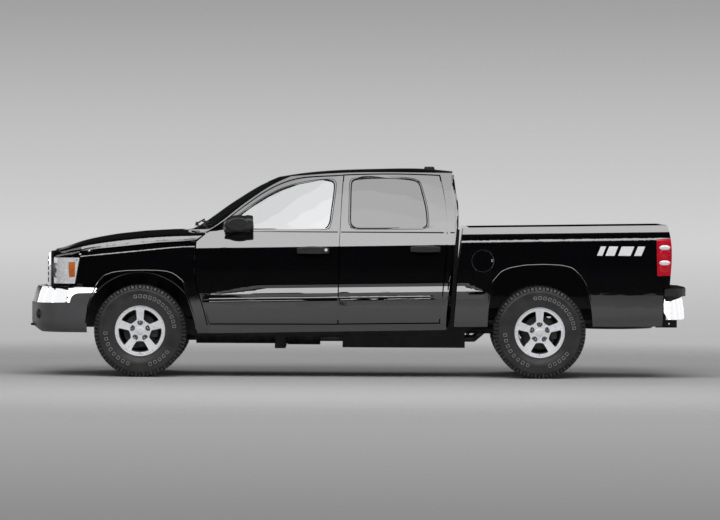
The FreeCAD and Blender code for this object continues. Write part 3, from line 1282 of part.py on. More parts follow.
def chassis_nodes():
    made = {"frame_rails": frame_rails(), "crossmembers": crossmembers(), "radiator_support": radiator_support(),
            "hitch_receiver": hitch_receiver(), "powertrain": powertrain(), "rear_suspension": rear_suspension(),
            "front_suspension": compound("front_suspension", list(front_suspension())),
            "knuckle_left": knuckle("knuckle_left", LEFT), "knuckle_right": knuckle("knuckle_right", RIGHT),
            "spare_wheel": spare_wheel(), "exhaust": exhaust(),
            "fuel_tank": part_box("fuel_tank", ZERO_X - 130,
                                  "Sizes.rail_width / 2 + Sizes.seat_clearance - Sizes.rail_centre_y", "240",
                                  "1030", "314", "200"),
            "seats": compound("seats", seats()), "dashboard": dashboard(), "steering_wheel": steering_wheel()}
    for place, x, side in WHEEL_PLACES:
        brake = (S.disc_radius - 10, S.disc_thickness) if x == FRONT_AXLE_X else (S.drum_radius, 44)
        rim = wheel("wheel_" + place, *brake)
        rim.Placement = wheel_placement(x, side)
        rubber = tyre("tyre_" + place)
        rubber.Placement = wheel_placement(x, side)
        made["wheel_" + place] = rim
        made["tyre_" + place] = rubber
    return made


def main_nodes():
    made = {}
    made.update(build_doors())
    made["cab_shell"] = cab_shell()
    made["cab_glass"] = cab_glass()
    made["hood"] = hood()
    left_fender = fender()
    made["fender_left"] = left_fender
    made["fender_right"] = mirrored(left_fender)
    made["front_liners"] = mirror_pair(liner())
    made["front_bumper"] = front_bumper()
    made["front_fascia"] = front_fascia()
    made["grille"] = grille()
    made["headlamps"] = mirror_pair(headlamp())
    made["bed"] = bed()
    made["fuel_door"] = fuel_door()
    made["tailgate"] = tailgate()
    made["tail_lamps"] = mirror_pair(tail_lamp())
    made["rear_bumper"] = rear_bumper()
    made["rear_step"] = rear_step()
    left_mirror = mirror_housing()
    made["mirror_left"] = left_mirror
    made["mirror_right"] = mirrored(left_mirror)
    return made


nodes = {}
for name, shape in main_nodes().items():
    nodes[name] = feature(name, shape)
nodes.update(chassis_nodes())
doc.recompute()

os.makedirs("parts", exist_ok=True)
for name, obj in nodes.items():
    if "Invalid" in obj.State or "Error" in obj.State:
        raise RuntimeError(name + " failed")
    if obj.Shape.isNull() or not obj.Shape.isValid():
        raise RuntimeError(name + " has no valid shape")
    obj.Shape.exportStep("parts/%s.step" % name)
    box = obj.Shape.BoundBox
    print(name, len(obj.Shape.Solids), round(obj.Shape.Volume / 1e6, 2), [round(v) for v in (
        box.XMin, box.XMax, box.YMin, box.YMax, box.ZMin, box.ZMax)])
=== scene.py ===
"""Looks of the four-door pickup truck: paint, glass, lamps, trim, tyres and cabin, in a pale studio."""

import json
import math

import bmesh
import bpy
from mathutils import Matrix, Vector
from mathutils.bvhtree import BVHTree

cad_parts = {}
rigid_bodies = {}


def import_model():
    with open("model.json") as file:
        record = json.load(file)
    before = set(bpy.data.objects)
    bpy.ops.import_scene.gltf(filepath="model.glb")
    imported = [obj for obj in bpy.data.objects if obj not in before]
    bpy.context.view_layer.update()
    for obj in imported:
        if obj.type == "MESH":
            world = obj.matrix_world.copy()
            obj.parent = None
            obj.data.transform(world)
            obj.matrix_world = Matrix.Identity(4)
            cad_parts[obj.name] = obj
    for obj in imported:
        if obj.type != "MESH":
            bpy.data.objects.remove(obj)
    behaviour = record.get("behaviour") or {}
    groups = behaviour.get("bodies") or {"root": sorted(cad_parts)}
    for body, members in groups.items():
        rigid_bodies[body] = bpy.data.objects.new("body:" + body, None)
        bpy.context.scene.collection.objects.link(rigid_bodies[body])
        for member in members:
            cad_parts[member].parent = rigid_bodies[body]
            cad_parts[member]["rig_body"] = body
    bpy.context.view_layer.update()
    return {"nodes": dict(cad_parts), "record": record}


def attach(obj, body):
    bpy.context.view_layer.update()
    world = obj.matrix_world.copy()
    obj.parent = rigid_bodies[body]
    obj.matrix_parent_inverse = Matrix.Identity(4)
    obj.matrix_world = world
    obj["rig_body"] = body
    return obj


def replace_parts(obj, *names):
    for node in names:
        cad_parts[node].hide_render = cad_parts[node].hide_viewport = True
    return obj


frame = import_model()

NODES = frame["nodes"]
SLOT_OF = {row["node"]: row["material_slot"] for row in frame["record"]["subparts"]}
BODY_OF = {node: obj["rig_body"] for node, obj in NODES.items()}
SIDES = (-1, 1)
HALF_WIDTH = 0.908
AXLE_X = {"front": -1.819, "rear": 1.516}
WHEEL_PLANE_Y = 0.785
WHEEL_CENTRE_Z = 0.386


# ---------------------------------------------------------------- finishes

def set_sockets(tree, node, sockets):
    """Gives inputs of a node their values, or links them to other nodes' outputs."""
    for socket, value in sockets.items():
        if isinstance(value, bpy.types.NodeSocket):
            tree.links.new(value, node.inputs[socket])
        else:
            node.inputs[socket].default_value = value


def add_node(tree, kind, sockets, **settings):
    """A shader node with its inputs filled and its own settings made."""
    node = tree.nodes.new("ShaderNode" + kind)
    for setting, value in settings.items():
        setattr(node, setting, value)
    set_sockets(tree, node, sockets)
    return node


def new_finish(name):
    """A node material with its node tree and its shader."""
    material = bpy.data.materials.new(name)
    material.use_nodes = True
    return material, material.node_tree, material.node_tree.nodes["Principled BSDF"]


def map_between(tree, value, source, target, easing="LINEAR"):
    """Changes a number from one range to another."""
    return add_node(tree, "MapRange", {
        "Value": value, "From Min": source[0], "From Max": source[1],
        "To Min": target[0], "To Max": target[1],
    }, interpolation_type=easing).outputs["Result"]


def part_coordinates(tree):
    """Places on the part itself, so that a finish stays with it when it moves."""
    return add_node(tree, "TexCoord", {}).outputs["Object"]


def mottle(tree, scale, detail, low, high):
    """Fine noise in the part's own coordinates, spread between two numbers."""
    noise = add_node(tree, "TexNoise", {"Vector": part_coordinates(tree), "Scale": scale, "Detail": detail})
    return map_between(tree, noise.outputs["Fac"], (0.3, 0.7), (low, high))


def two_tone(tree, factor, dark, light):
    """Blends two colours by a factor from 0 to 1."""
    ramp = add_node(tree, "ValToRGB", {"Fac": factor})
    for element, colour in zip(ramp.color_ramp.elements, (dark, light)):
        element.color = (*colour, 1)
    return ramp.outputs["Color"]


def raise_surface(tree, shader, height, depth):
    """Bump of the given depth in metres on the shader's normal."""
    bump = add_node(tree, "Bump", {"Height": height, "Distance": depth})
    set_sockets(tree, shader, {"Normal": bump.outputs["Normal"]})


def finish_of(name, dark, light, tone=(6, 3), rough=(0.3, 0.4), rough_scale=30, grain=(900, 2, 0.0002),
              **others):
    """A mottled finish: two colours, a range of roughness, a fine grain and other values of the shader."""
    material, tree, shader = new_finish(name)
    set_sockets(tree, shader, {"Base Color": two_tone(tree, mottle(tree, *tone, 0, 1), dark, light),
                               "Roughness": mottle(tree, rough_scale, 4, *rough)})
    set_sockets(tree, shader, {socket.replace("_", " "): value for socket, value in others.items()})
    scale, detail, depth = grain
    raise_surface(tree, shader, mottle(tree, scale, detail, 0, 1), depth)
    return material


def cloth_finish(name, dark, light, thread_scale):
    """Woven seat cloth: two crossing sets of threads, with a soft sheen."""
    material, tree, shader = new_finish(name)
    threads = []
    for turn in (0.0, math.pi / 2):
        laid = add_node(tree, "Mapping", {"Vector": part_coordinates(tree),
                                          "Rotation": (turn, turn / 2, turn)})
        wave = add_node(tree, "TexWave", {"Vector": laid.outputs["Vector"], "Scale": thread_scale,
                                          "Distortion": 0.6})
        threads.append(wave.outputs["Fac"])
    weave = add_node(tree, "Math", dict(enumerate(threads)), operation="MAXIMUM").outputs["Value"]
    set_sockets(tree, shader, {"Base Color": two_tone(tree, weave, dark, light),
                               "Roughness": mottle(tree, 40, 3, 0.75, 0.95),
                               "Sheen Weight": 0.25, "Sheen Roughness": 0.5})
    raise_surface(tree, shader, weave, 0.0006)
    return material


def glass_finish(name, tint, clear, index):
    """Window glass: a mirror-smooth face over a tint that lets some of the light through."""
    material, tree, shader = new_finish(name)
    colour = two_tone(tree, mottle(tree, 3, 2, 0, 1), tint, [c * 1.08 for c in tint])
    set_sockets(tree, shader, {"Base Color": colour, "Roughness": 0.01, "IOR": index})
    raise_surface(tree, shader, mottle(tree, 1.6, 1, 0, 1), 0.00008)
    through = add_node(tree, "BsdfTransparent", {"Color": (*clear, 1)})
    both = add_node(tree, "AddShader", {0: shader.outputs["BSDF"], 1: through.outputs["BSDF"]})
    set_sockets(tree, tree.nodes["Material Output"], {"Surface": both.outputs["Shader"]})
    return material


def lens_finish(name, colour, alpha, index=1.5):
    """Moulded lamp lens: thin clear plastic with level flutes."""
    material, tree, shader = new_finish(name)
    tones = two_tone(tree, mottle(tree, 20, 2, 0, 1), colour, [c * 0.8 for c in colour])
    set_sockets(tree, shader, {"Base Color": tones, "Roughness": mottle(tree, 40, 3, 0.04, 0.1),
                               "IOR": index, "Alpha": alpha})
    flutes = add_node(tree, "TexWave", {"Vector": part_coordinates(tree), "Scale": 12}, bands_direction="Z")
    raise_surface(tree, shader, flutes.outputs["Fac"], 0.0006)
    return material


BLACK_PAINT = finish_of("black_paint", (0.002, 0.002, 0.0024), (0.0032, 0.0032, 0.0038), tone=(900, 2),
                        rough=(0.05, 0.09), rough_scale=4, grain=(260, 2, 0.00002), IOR=1.8,
                        Coat_Weight=1.0, Coat_Roughness=0.015, Coat_IOR=1.7)
CHROME = finish_of("chrome_plate", (0.86, 0.87, 0.88), (0.92, 0.92, 0.93), tone=(4, 2), rough=(0.04, 0.09),
                   rough_scale=6, grain=(60, 2, 0.00004), Metallic=1.0)
ALLOY = finish_of("alloy_lacquer", (0.82, 0.83, 0.85), (0.88, 0.89, 0.91), tone=(35, 3), rough=(0.26, 0.34),
                  rough_scale=40, grain=(90, 1, 0.000004), Metallic=0.25, Coat_Weight=0.5,
                  Coat_Roughness=0.08)
# Alloy darkened as painted shade in hollows: inside the rim, in the wells round the lug nuts and in the lamp
# bowls.
SHADED_ALLOY = finish_of("alloy_hollow_shade", (0.10, 0.10, 0.11), (0.16, 0.16, 0.17), tone=(120, 3), rough=(0.4, 0.55),
                       grain=(900, 2, 0.0001), Metallic=0.6)
TYRE_RUBBER = finish_of("tyre_rubber", (0.020, 0.020, 0.021), (0.040, 0.039, 0.038), tone=(9, 5),
                        rough=(0.28, 0.38), rough_scale=25, grain=(700, 4, 0.0001))
# Near-black rubber as painted shade: in the grooves between the tread blocks and in the gap between cab and
# bed.
TREAD_SHADE = finish_of("groove_and_gap_painted_shade", (0.005, 0.005, 0.005), (0.010, 0.010, 0.010), tone=(12, 4),
                        rough=(0.7, 0.9), grain=(700, 3, 0.0002))
SIDEWALL_INK = finish_of("sidewall_white", (0.24, 0.24, 0.235), (0.42, 0.42, 0.41), tone=(90, 4),
                         rough=(0.5, 0.7), grain=(700, 3, 0.0002))
DARK_PLASTIC = finish_of("dark_plastic", (0.012, 0.012, 0.013), (0.022, 0.022, 0.023), tone=(14, 4),
                         rough=(0.5, 0.65), grain=(1100, 3, 0.00035))
GREY_PLASTIC = finish_of("grey_plastic", (0.060, 0.060, 0.062), (0.074, 0.074, 0.077), tone=(10, 3),
                         rough=(0.42, 0.52), grain=(1300, 3, 0.0002))
MIRROR_PLASTIC = finish_of("mirror_plastic", (0.016, 0.016, 0.017), (0.026, 0.026, 0.027), tone=(22, 4),
                           rough=(0.30, 0.38), grain=(1500, 3, 0.00016), Coat_Weight=0.2,
                           Coat_Roughness=0.3)
RUBBER_SEAL = finish_of("rubber_seal", (0.010, 0.010, 0.010), (0.018, 0.018, 0.018), tone=(40, 3),
                        rough=(0.45, 0.6), grain=(800, 2, 0.0002))
FRAME_STEEL = finish_of("frame_steel", (0.010, 0.010, 0.011), (0.026, 0.024, 0.022), tone=(12, 6),
                        rough=(0.5, 0.75), grain=(260, 5, 0.0007))
CAST_METAL = finish_of("cast_metal", (0.05, 0.05, 0.052), (0.12, 0.115, 0.11), tone=(16, 6),
                       rough=(0.45, 0.7), grain=(420, 5, 0.0008), Metallic=0.7)
PIPE_METAL = finish_of("pipe_metal", (0.16, 0.14, 0.12), (0.34, 0.33, 0.31), tone=(7, 6),
                       rough=(0.35, 0.6), grain=(500, 4, 0.0003), Metallic=0.9)
TRIM_GREY = finish_of("cabin_trim", (0.075, 0.075, 0.078), (0.10, 0.10, 0.104), tone=(18, 3),
                      rough=(0.55, 0.7), grain=(1000, 4, 0.0005))
REFLECTOR = finish_of("lamp_reflector", (0.80, 0.81, 0.83), (0.93, 0.93, 0.94), tone=(14, 3),
                      rough=(0.22, 0.34), rough_scale=20, grain=(26, 1, 0.0012), Metallic=0.3)
BAR_WHITE = finish_of("side_bar_white", (0.72, 0.72, 0.73), (0.82, 0.82, 0.83), tone=(60, 2),
                      grain=(900, 2, 0.00003))
SEAT_CLOTH = cloth_finish("seat_cloth", (0.07, 0.072, 0.078), (0.15, 0.155, 0.165), 45)
FRONT_GLASS = glass_finish("front_side_glass", (0.030, 0.038, 0.046), (0.05, 0.055, 0.06), 3.0)
PRIVACY_GLASS = glass_finish("rear_side_glass", (0.006, 0.007, 0.008), (0.02, 0.022, 0.024), 2.1)
SCREEN_GLASS = glass_finish("windscreen_glass", (0.010, 0.013, 0.012), (0.12, 0.15, 0.13), 1.52)
LAMP_AMBER = lens_finish("lamp_amber_lens", (0.62, 0.16, 0.03), 0.9)
LAMP_RED = lens_finish("lamp_red_lens", (0.62, 0.012, 0.03), 0.86, 1.6)

FINISH_OF_SLOT = {
    "body_paint": BLACK_PAINT, "chrome": CHROME, "alloy": ALLOY, "tyre": TYRE_RUBBER,
    "dark_plastic": DARK_PLASTIC, "grey_plastic": GREY_PLASTIC, "mirror_plastic": MIRROR_PLASTIC,
    "tinted_glass": PRIVACY_GLASS, "lamp_clear": REFLECTOR, "lamp_red": LAMP_RED,
    "frame_steel": FRAME_STEEL, "cast": CAST_METAL, "pipe": PIPE_METAL,
    "seat_cloth": SEAT_CLOTH, "trim_grey": TRIM_GREY,
}


# ---------------------------------------------------------------- pieces

def sharpen(bm, degrees):
    """Smooth faces, with the edges that turn more than the angle kept crisp."""
    for face in bm.faces:
        face.smooth = True
    for edge in bm.edges:
        edge.smooth = len(edge.link_faces) == 2 and edge.calc_face_angle(0) < math.radians(degrees)


def make_piece(bm, name, finish, body="truck", degrees=40, recalculate=True):
    """Turns the bmesh into an object that rides on a body, with its finish."""
    bmesh.ops.remove_doubles(bm, verts=bm.verts, dist=1e-5)
    if recalculate:
        bmesh.ops.recalc_face_normals(bm, faces=bm.faces)
    sharpen(bm, degrees)
    mesh = bpy.data.meshes.new(name)
    bm.to_mesh(mesh)
    bm.free()
    mesh.materials.append(finish)
    piece = bpy.data.objects.new(name, mesh)
    bpy.context.scene.collection.objects.link(piece)
    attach(piece, body)
    return piece


def even_shading(piece, weight):
    """Lets the large faces of a piece set its shading."""
    weigh = piece.modifiers.new("even_shading", "WEIGHTED_NORMAL")
    weigh.keep_sharp = True
    weigh.weight = weight


def side_name(side):
    return "left" if side < 0 else "right"


# ---------------------------------------------------------------- the panels' finer shape

RAKE = 0.0165
SKIN_Y = 0.8995
GROOVE = [(0.783, 0.0), (0.781, 0.0), (0.7575, -0.009), (0.711, 0.006), (0.702, 0.005), (0.685, 0.004)]
RIB = [(0.681, 0.004), (0.6742, 0.0075), (0.668, -0.004), (0.660, -0.004), (0.650, 0.0), (0.646, 0.0)]
GROOVE_ROWS = [0.712 + 0.008 * k for k in range(9)]
GROOVE_REAR_STATIONS = [0.61, 0.63, 0.89, 0.93, 0.97, 1.01, 1.04, 1.06]
GROOVE_BAND = (0.64, 0.79)
GROOVE_SLOPE_Z = (0.711, 0.7575)
GROOVE_ENDS = (-1.29, 1.06)
GROOVE_FADES = (0.05, 0.03)
RIB_ENDS = (-1.28, 0.6175)
RIB_TOP_Z = 0.700
GROOVE_DROP = 0.046
GROOVE_FALL = [(-1.24, GROOVE_DROP), (-0.82, 0.0), (0.889, 0.0), (1.045, GROOVE_DROP)]
CREASE_SLOPE = 0.0184
CREASE_Z = 1.0998
CREASE_ROWS = (-0.035, -0.006, 0.006, 0.035)
CREASE_TUCKS = ((-0.006, 0.0135), (0.006, 0.0165))
BELT_KINK_Z = 1.239
BELT_TUCK = 0.062
SILL_ROWS = (0.47, 0.59, 0.70, 0.90)
SILL_Z = 0.40
SKIN_NEAR = 0.008
BED_TOP_Z = 1.10
PLAN = [(-2.7, -0.26), (-2.6, -0.165), (-2.54, -0.118), (-2.45, -0.072), (-2.32, -0.036), (-2.1, -0.010),
        (-1.85, 0.0), (2.0, 0.0), (2.5, -0.008), (2.8, -0.016)]
TUCKS = [(0.39, 0.046), (0.47, 0.024), (0.59, 0.007), (0.72, 0.0), (0.90, 0.004)]
HOOD_FLANK = [(-0.02, -0.02), (0.012, 0.012), (0.031, 0.019), (0.071, 0.036), (0.119, 0.080), (0.200, 0.178),
              (0.300, 0.300)]
HOOD_EDGE_IN = 0.031
HOOD_NOSE_X = -2.50
BED_RAIL = [(0.873, 1.257), (2.57, 1.285)]
RAIL_TALL = 0.055
RAIL_IN = 0.075
RAIL_PUSH = 0.007
BUMPER_LONG = 0.59
BUMPER_HALF_WIDE = 0.9


def between(points, x):
    """Straight-line value at x in a list of pairs."""
    points = sorted(points)
    if x <= points[0][0]:
        return points[0][1]
    for (x0, y0), (x1, y1) in zip(points, points[1:]):
        if x <= x1:
            return y0 + (y1 - y0) * (x - x0) / (x1 - x0)
    return points[-1][1]


def side_plan(x):
    """Half of the truck's width at a place along it."""
    return HALF_WIDTH + between(PLAN, x)


def groove_depth(x, height):
    """How far the door's side channel stands out from the plain side, at a height that follows its slope."""
    start, end = GROOVE_ENDS
    if not start < x < end:
        return 0.0
    if height > RIB_TOP_Z:
        low_z, high_z = GROOVE_SLOPE_Z
        fall = between(GROOVE_FALL, x)
        kept = 1 - 0.75 * fall / GROOVE_DROP
        section = [(z - fall * max(0.0, z - low_z) / (high_z - low_z), depth * kept) for z, depth in GROOVE]
    elif RIB_ENDS[0] < x < RIB_ENDS[1]:
        section = GROOVE + RIB
    else:
        section = GROOVE + [(0.660, 0.0)]
    return between(section, height) * min(1.0, (x - start) / GROOVE_FADES[0], (end - x) / GROOVE_FADES[1])


def cut_rows(bm, heights, slope=0.0, stations=()):
    """Cuts a panel along lines at some heights, which may slope, and along upright lines at some places."""
    planes = [((0, 0, height), Vector((-slope, 0, 1)).normalized()) for height in heights]
    planes += [((x, 0, 0), (1, 0, 0)) for x in stations]
    for place, normal in planes:
        bmesh.ops.bisect_plane(bm, geom=bm.verts[:] + bm.edges[:] + bm.faces[:], plane_co=place,
                               plane_no=normal, dist=1e-6)


def sculpt_channel(bm):
    """Presses the channel and its rib into the side of a panel."""
    heights = sorted({z for z, _ in GROOVE + RIB} | set(GROOVE_ROWS))
    low_x = min(v.co.x for v in bm.verts)
    high_x = max(v.co.x for v in bm.verts)
    stations = [GROOVE_ENDS[0] + GROOVE_FADES[0] * k for k in range(11)] + GROOVE_REAR_STATIONS
    cut_rows(bm, heights, RAKE, [x for x in stations if low_x < x < high_x])
    for vert in bm.verts:
        height = vert.co.z - RAKE * vert.co.x
        if GROOVE_BAND[0] < height < GROOVE_BAND[1] and abs(vert.co.y) > SKIN_Y:
            vert.co.y += groove_depth(vert.co.x, height) * math.copysign(1, vert.co.y)


def fair_side(bm, top_z):
    """Lays the outer skin on the side's plain section, with its crease as one clean line."""
    cut_rows(bm, [CREASE_Z + step for step in CREASE_ROWS], CREASE_SLOPE)
    cut_rows(bm, SILL_ROWS)
    for vert in bm.verts:
        x, y, z = vert.co
        crease = CREASE_Z + CREASE_SLOPE * x
        if z > top_z or z < SILL_Z or (top_z == BED_TOP_Z and z > crease - 0.001):
            continue
        at_crease = [(crease + step, tuck) for step, tuck in CREASE_TUCKS]
        tuck = between(TUCKS + at_crease + [(BELT_KINK_Z, BELT_TUCK)], z)
        if abs(abs(y) - side_plan(x) + tuck) < SKIN_NEAR:
            vert.co.y = math.copysign(side_plan(x) - tuck, y)


def draw_in(bm, low_z, high_z, row_count, share_at, inner_x, end_share, side_share):
    """Draws a wrap-round wall inwards between two heights, more or less so at each of them."""
    cut_rows(bm, [low_z + (high_z - low_z) * k / row_count for k in range(1, row_count)])
    for vert in bm.verts:
        share = share_at(vert.co.z)
        vert.co.x = inner_x + (vert.co.x - inner_x) * (1 - share * end_share)
        vert.co.y *= 1 - share * side_share


def lean_back(bm, low_z, high_z, inner_x, end_share, side_share):
    """Leans an upright bumper wall inwards and rolls it over at its top."""
    def share_at(z):
        rise = min(1.0, max(0.0, (z - low_z) / (high_z - low_z)))
        return 0.85 * rise + 0.15 * rise ** 5

    draw_in(bm, low_z, high_z, 16, share_at, inner_x, end_share, side_share)


def roll_under(bm, low_z, high_z, inner_x, end_share, side_share):
    """Rolls the lower edge of a bumper wall inwards."""
    def share_at(z):
        return min(1.0, max(0.0, (high_z - z) / (high_z - low_z))) ** 2.2

    cut_rows(bm, [high_z])
    draw_in(bm, low_z, high_z, 6, share_at, inner_x, end_share, side_share)


def stand_up_flank(bm):
    """Makes the hood's flank steeper, so that it meets the light as one wide band."""
    for vert in bm.verts:
        edge_y = side_plan(vert.co.x) - HOOD_EDGE_IN
        inward = edge_y - abs(vert.co.y)
        if inward < HOOD_FLANK[-1][0] and vert.co.x > HOOD_NOSE_X:
            vert.co.y = math.copysign(edge_y - between(HOOD_FLANK, inward), vert.co.y)


def stand_up_rail(bm):
    """Makes the bed's rail band steeper."""
    for vert in bm.verts:
        x, y, z = vert.co
        rise = z - between(BED_RAIL, x) + RAIL_TALL
        if rise > 0 and abs(y) > side_plan(x) - RAIL_IN:
            vert.co.y += math.copysign(RAIL_PUSH * min(1.0, rise / RAIL_TALL), y)


DOORS = ["door_%s_%s" % (row, hand) for row in ("front", "rear") for hand in ("left", "right")]
OWN_FINISH = {"cab_glass": SCREEN_GLASS, "glass_front_left": FRONT_GLASS, "glass_front_right": FRONT_GLASS}


def reshape(bm, node):
    """The finer shape that some nodes get."""
    if node in DOORS + ["cab_shell", "bed"]:
        fair_side(bm, BED_TOP_Z if node == "bed" else BELT_KINK_Z)
        sculpt_channel(bm)
    if node == "front_bumper":
        lean_back(bm, 0.612, 0.748, -2.173, 0.047 / BUMPER_LONG, 0.047 / BUMPER_HALF_WIDE)
    if node == "front_fascia":
        roll_under(bm, 0.37, 0.46, -2.2, 0.055 / BUMPER_LONG, 0.034375)
    if node == "rear_bumper":
        lean_back(bm, 0.50, 0.692, 2.45, 0.045 / BUMPER_LONG, 0.070 / BUMPER_HALF_WIDE)
    if node == "hood":
        stand_up_flank(bm)
    if node == "bed":
        stand_up_rail(bm)


def node_skin(node):
    """A copy of a node with its finish, its finer shape and even shading."""
    bm = bmesh.new()
    bm.from_mesh(NODES[node].data)
    bmesh.ops.remove_doubles(bm, verts=bm.verts, dist=1e-5)
    reshape(bm, node)
    finish = OWN_FINISH.get(node, FINISH_OF_SLOT[SLOT_OF[node]])
    skin = make_piece(bm, node + "_skin", finish, BODY_OF[node], 28, recalculate=False)
    even_shading(skin, 60)
    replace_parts(skin, node)


for node in sorted(NODES):
    if node != "seats" and not node.startswith(("wheel_", "tyre_")):
        node_skin(node)


# ---------------------------------------------------------------- shaping of new pieces

def round_edges(bm, edges, radius, segments):
    """Rounds some edges off."""
    bmesh.ops.bevel(bm, geom=edges, offset=radius, segments=segments, profile=0.5, affect="EDGES",
                    material=-1)


def add_block(bm, low, high, edge=0.0, segments=2):
    """A block between two corners, with its edges rounded."""
    low, high = Vector(low), Vector(high)
    place = Matrix.Translation((low + high) / 2) @ Matrix.Diagonal((*(high - low), 1))
    made = bmesh.ops.create_cube(bm, size=1, matrix=place)["verts"]
    if edge:
        round_edges(bm, list({e for v in made for e in v.link_edges}), edge, segments)
    return made


def add_side_block(bm, side, inner, outer, edge=0.0, segments=2):
    """A block on one side of the truck, between corners given for the right side."""
    low_y, high_y = sorted((side * inner[1], side * outer[1]))
    return add_block(bm, (inner[0], low_y, inner[2]), (outer[0], high_y, outer[2]), edge, segments)


def add_rod(bm, start, end, radius, radius_end=None, segments=24):
    """A round bar or cone between two points."""
    start, end = Vector(start), Vector(end)
    axis = end - start
    turn = axis.to_track_quat("Z", "Y").to_matrix().to_4x4()
    bmesh.ops.create_cone(bm, cap_ends=True, segments=segments, radius1=radius, radius2=radius_end or radius,
                          depth=axis.length, matrix=Matrix.Translation((start + end) / 2) @ turn)


def add_ball(bm, centre, size, segments=(32, 16)):
    """A ball stretched to three half sizes."""
    made = bmesh.ops.create_uvsphere(bm, u_segments=segments[0], v_segments=segments[1], radius=1)["verts"]
    bmesh.ops.scale(bm, verts=made, vec=size)
    bmesh.ops.translate(bm, verts=made, vec=centre)


def add_turned(bm, profile, steps, closed=True):
    """A shape turned about the Y axis from (distance from the axis, place along it) points."""
    verts = [bm.verts.new((r, y, 0)) for r, y in profile]
    edges = [bm.edges.new(pair) for pair in zip(verts, verts[1:])]
    if closed:
        edges.append(bm.edges.new((verts[-1], verts[0])))
    bmesh.ops.spin(bm, geom=verts + edges, cent=(0, 0, 0), axis=(0, 1, 0), angle=2 * math.pi, steps=steps,
                   use_merge=True, use_duplicate=False)


def turned(profile, steps, closed=True):
    """A new shape turned about the Y axis."""
    bm = bmesh.new()
    add_turned(bm, profile, steps, closed)
    return bm


def placed(bm, place):
    bmesh.ops.transform(bm, matrix=place, verts=bm.verts)
    return bm


def join(bm, part):
    """Adds one shape to another."""
    mesh = bpy.data.meshes.new("part")
    part.to_mesh(mesh)
    part.free()
    bm.from_mesh(mesh)
    bpy.data.meshes.remove(mesh)


def circle(centre, radius, count):
    """Points round a circle in a plane."""
    turns = [2 * math.pi * k / count for k in range(count)]
    return [(centre[0] + radius * math.sin(t), centre[1] + radius * math.cos(t)) for t in turns]


def tube_mesh(points, radius, closed=False):
    """The mesh of a round tube along a smooth line."""
    curve = bpy.data.curves.new("line", "CURVE")
    curve.dimensions = "3D"
    curve.bevel_depth = radius
    curve.bevel_resolution = 3
    curve.use_fill_caps = True
    spline = curve.splines.new("NURBS")
    spline.points.add(len(points) - 1)
    for place, point in zip(spline.points, points):
        place.co = (*point, 1)
    spline.use_cyclic_u = closed
    spline.use_endpoint_u = not closed
    spline.order_u = 3
    spline.resolution_u = 8
    holder = bpy.data.objects.new("line", curve)
    mesh = bpy.data.meshes.new_from_object(holder)
    bpy.data.objects.remove(holder)
    bpy.data.curves.remove(curve)
    return mesh


def tube_piece(name, points, radius, finish, body="truck", closed=False):
    """A round tube as a piece of its own."""
    bm = bmesh.new()
    bm.from_mesh(tube_mesh(points, radius, closed))
    make_piece(bm, name, finish, body, 50)


def skin_tree(*nodes):
    """The shapes of some nodes as one thing to lay pieces on."""
    bm = bmesh.new()
    for node in nodes:
        bm.from_mesh(NODES[node].data)
    return BVHTree.FromBMesh(bm)


def skin_at(tree, x, z, side):
    """Place on the truck's side, straight in from outside."""
    hit = tree.ray_cast(Vector((x, side * 2.0, z)), Vector((0, -side, 0)))[0]
    return hit.y if hit else None


def front_at(tree, y, z):
    """Where a level line from ahead first meets the truck."""
    return tree.ray_cast(Vector((-4, y, z)), Vector((1, 0, 0)))[0]


def line_on_side(tree, outline, side, lift=0.0):
    """Lays a line of (x, z) points on the truck's side."""
    points = []
    for x, z in outline:
        y = skin_at(tree, x, z, side)
        points.append((x, (side * 0.8 if y is None else y) + side * lift, z))
    return points


def grown(outline, centre, share):
    """An outline made larger about a point."""
    return [(centre[0] + (x - centre[0]) * share, centre[1] + (z - centre[1]) * share) for x, z in outline]


def spaced(points, share):
    """Point at a share of the length of a line of (x, z) points."""
    lengths = [math.dist(a, b) for a, b in zip(points, points[1:])]
    left = share * sum(lengths)
    for a, b, run in zip(points, points[1:], lengths):
        if left <= run or b == points[-1]:
            part = min(1.0, left / run)
            return a[0] + (b[0] - a[0]) * part, a[1] + (b[1] - a[1]) * part
        left -= run


def laid_strip(name, tree, side, inner, outer, section, finish, steps, sink):
    """A strip that lies on the truck's side between two lines, its thickness given across it."""
    bm = bmesh.new()
    rows = len(section) - 1
    bmesh.ops.create_grid(bm, x_segments=steps, y_segments=rows, size=1)
    y_last = side * 0.9
    for vert in sorted(bm.verts, key=lambda v: (v.co.x, v.co.y)):
        along, across = (vert.co.x + 1) / 2, (vert.co.y + 1) / 2
        share, lift = section[round(across * rows)]
        a, b = spaced(inner, along), spaced(outer, along)
        x, z = a[0] + (b[0] - a[0]) * share, a[1] + (b[1] - a[1]) * share
        y = skin_at(tree, x, z, side)
        y_last = y if y is not None and abs(y) > 0.6 else y_last
        vert.co = (x, y_last + side * lift, z)
    bmesh.ops.recalc_face_normals(bm, faces=bm.faces)
    if sum(f.normal.y for f in bm.faces) * side < 0:
        bmesh.ops.reverse_faces(bm, faces=bm.faces)
    bmesh.ops.solidify(bm, geom=bm.faces[:], thickness=sink)
    make_piece(bm, name, finish)


# ---------------------------------------------------------------- wheels and tyres

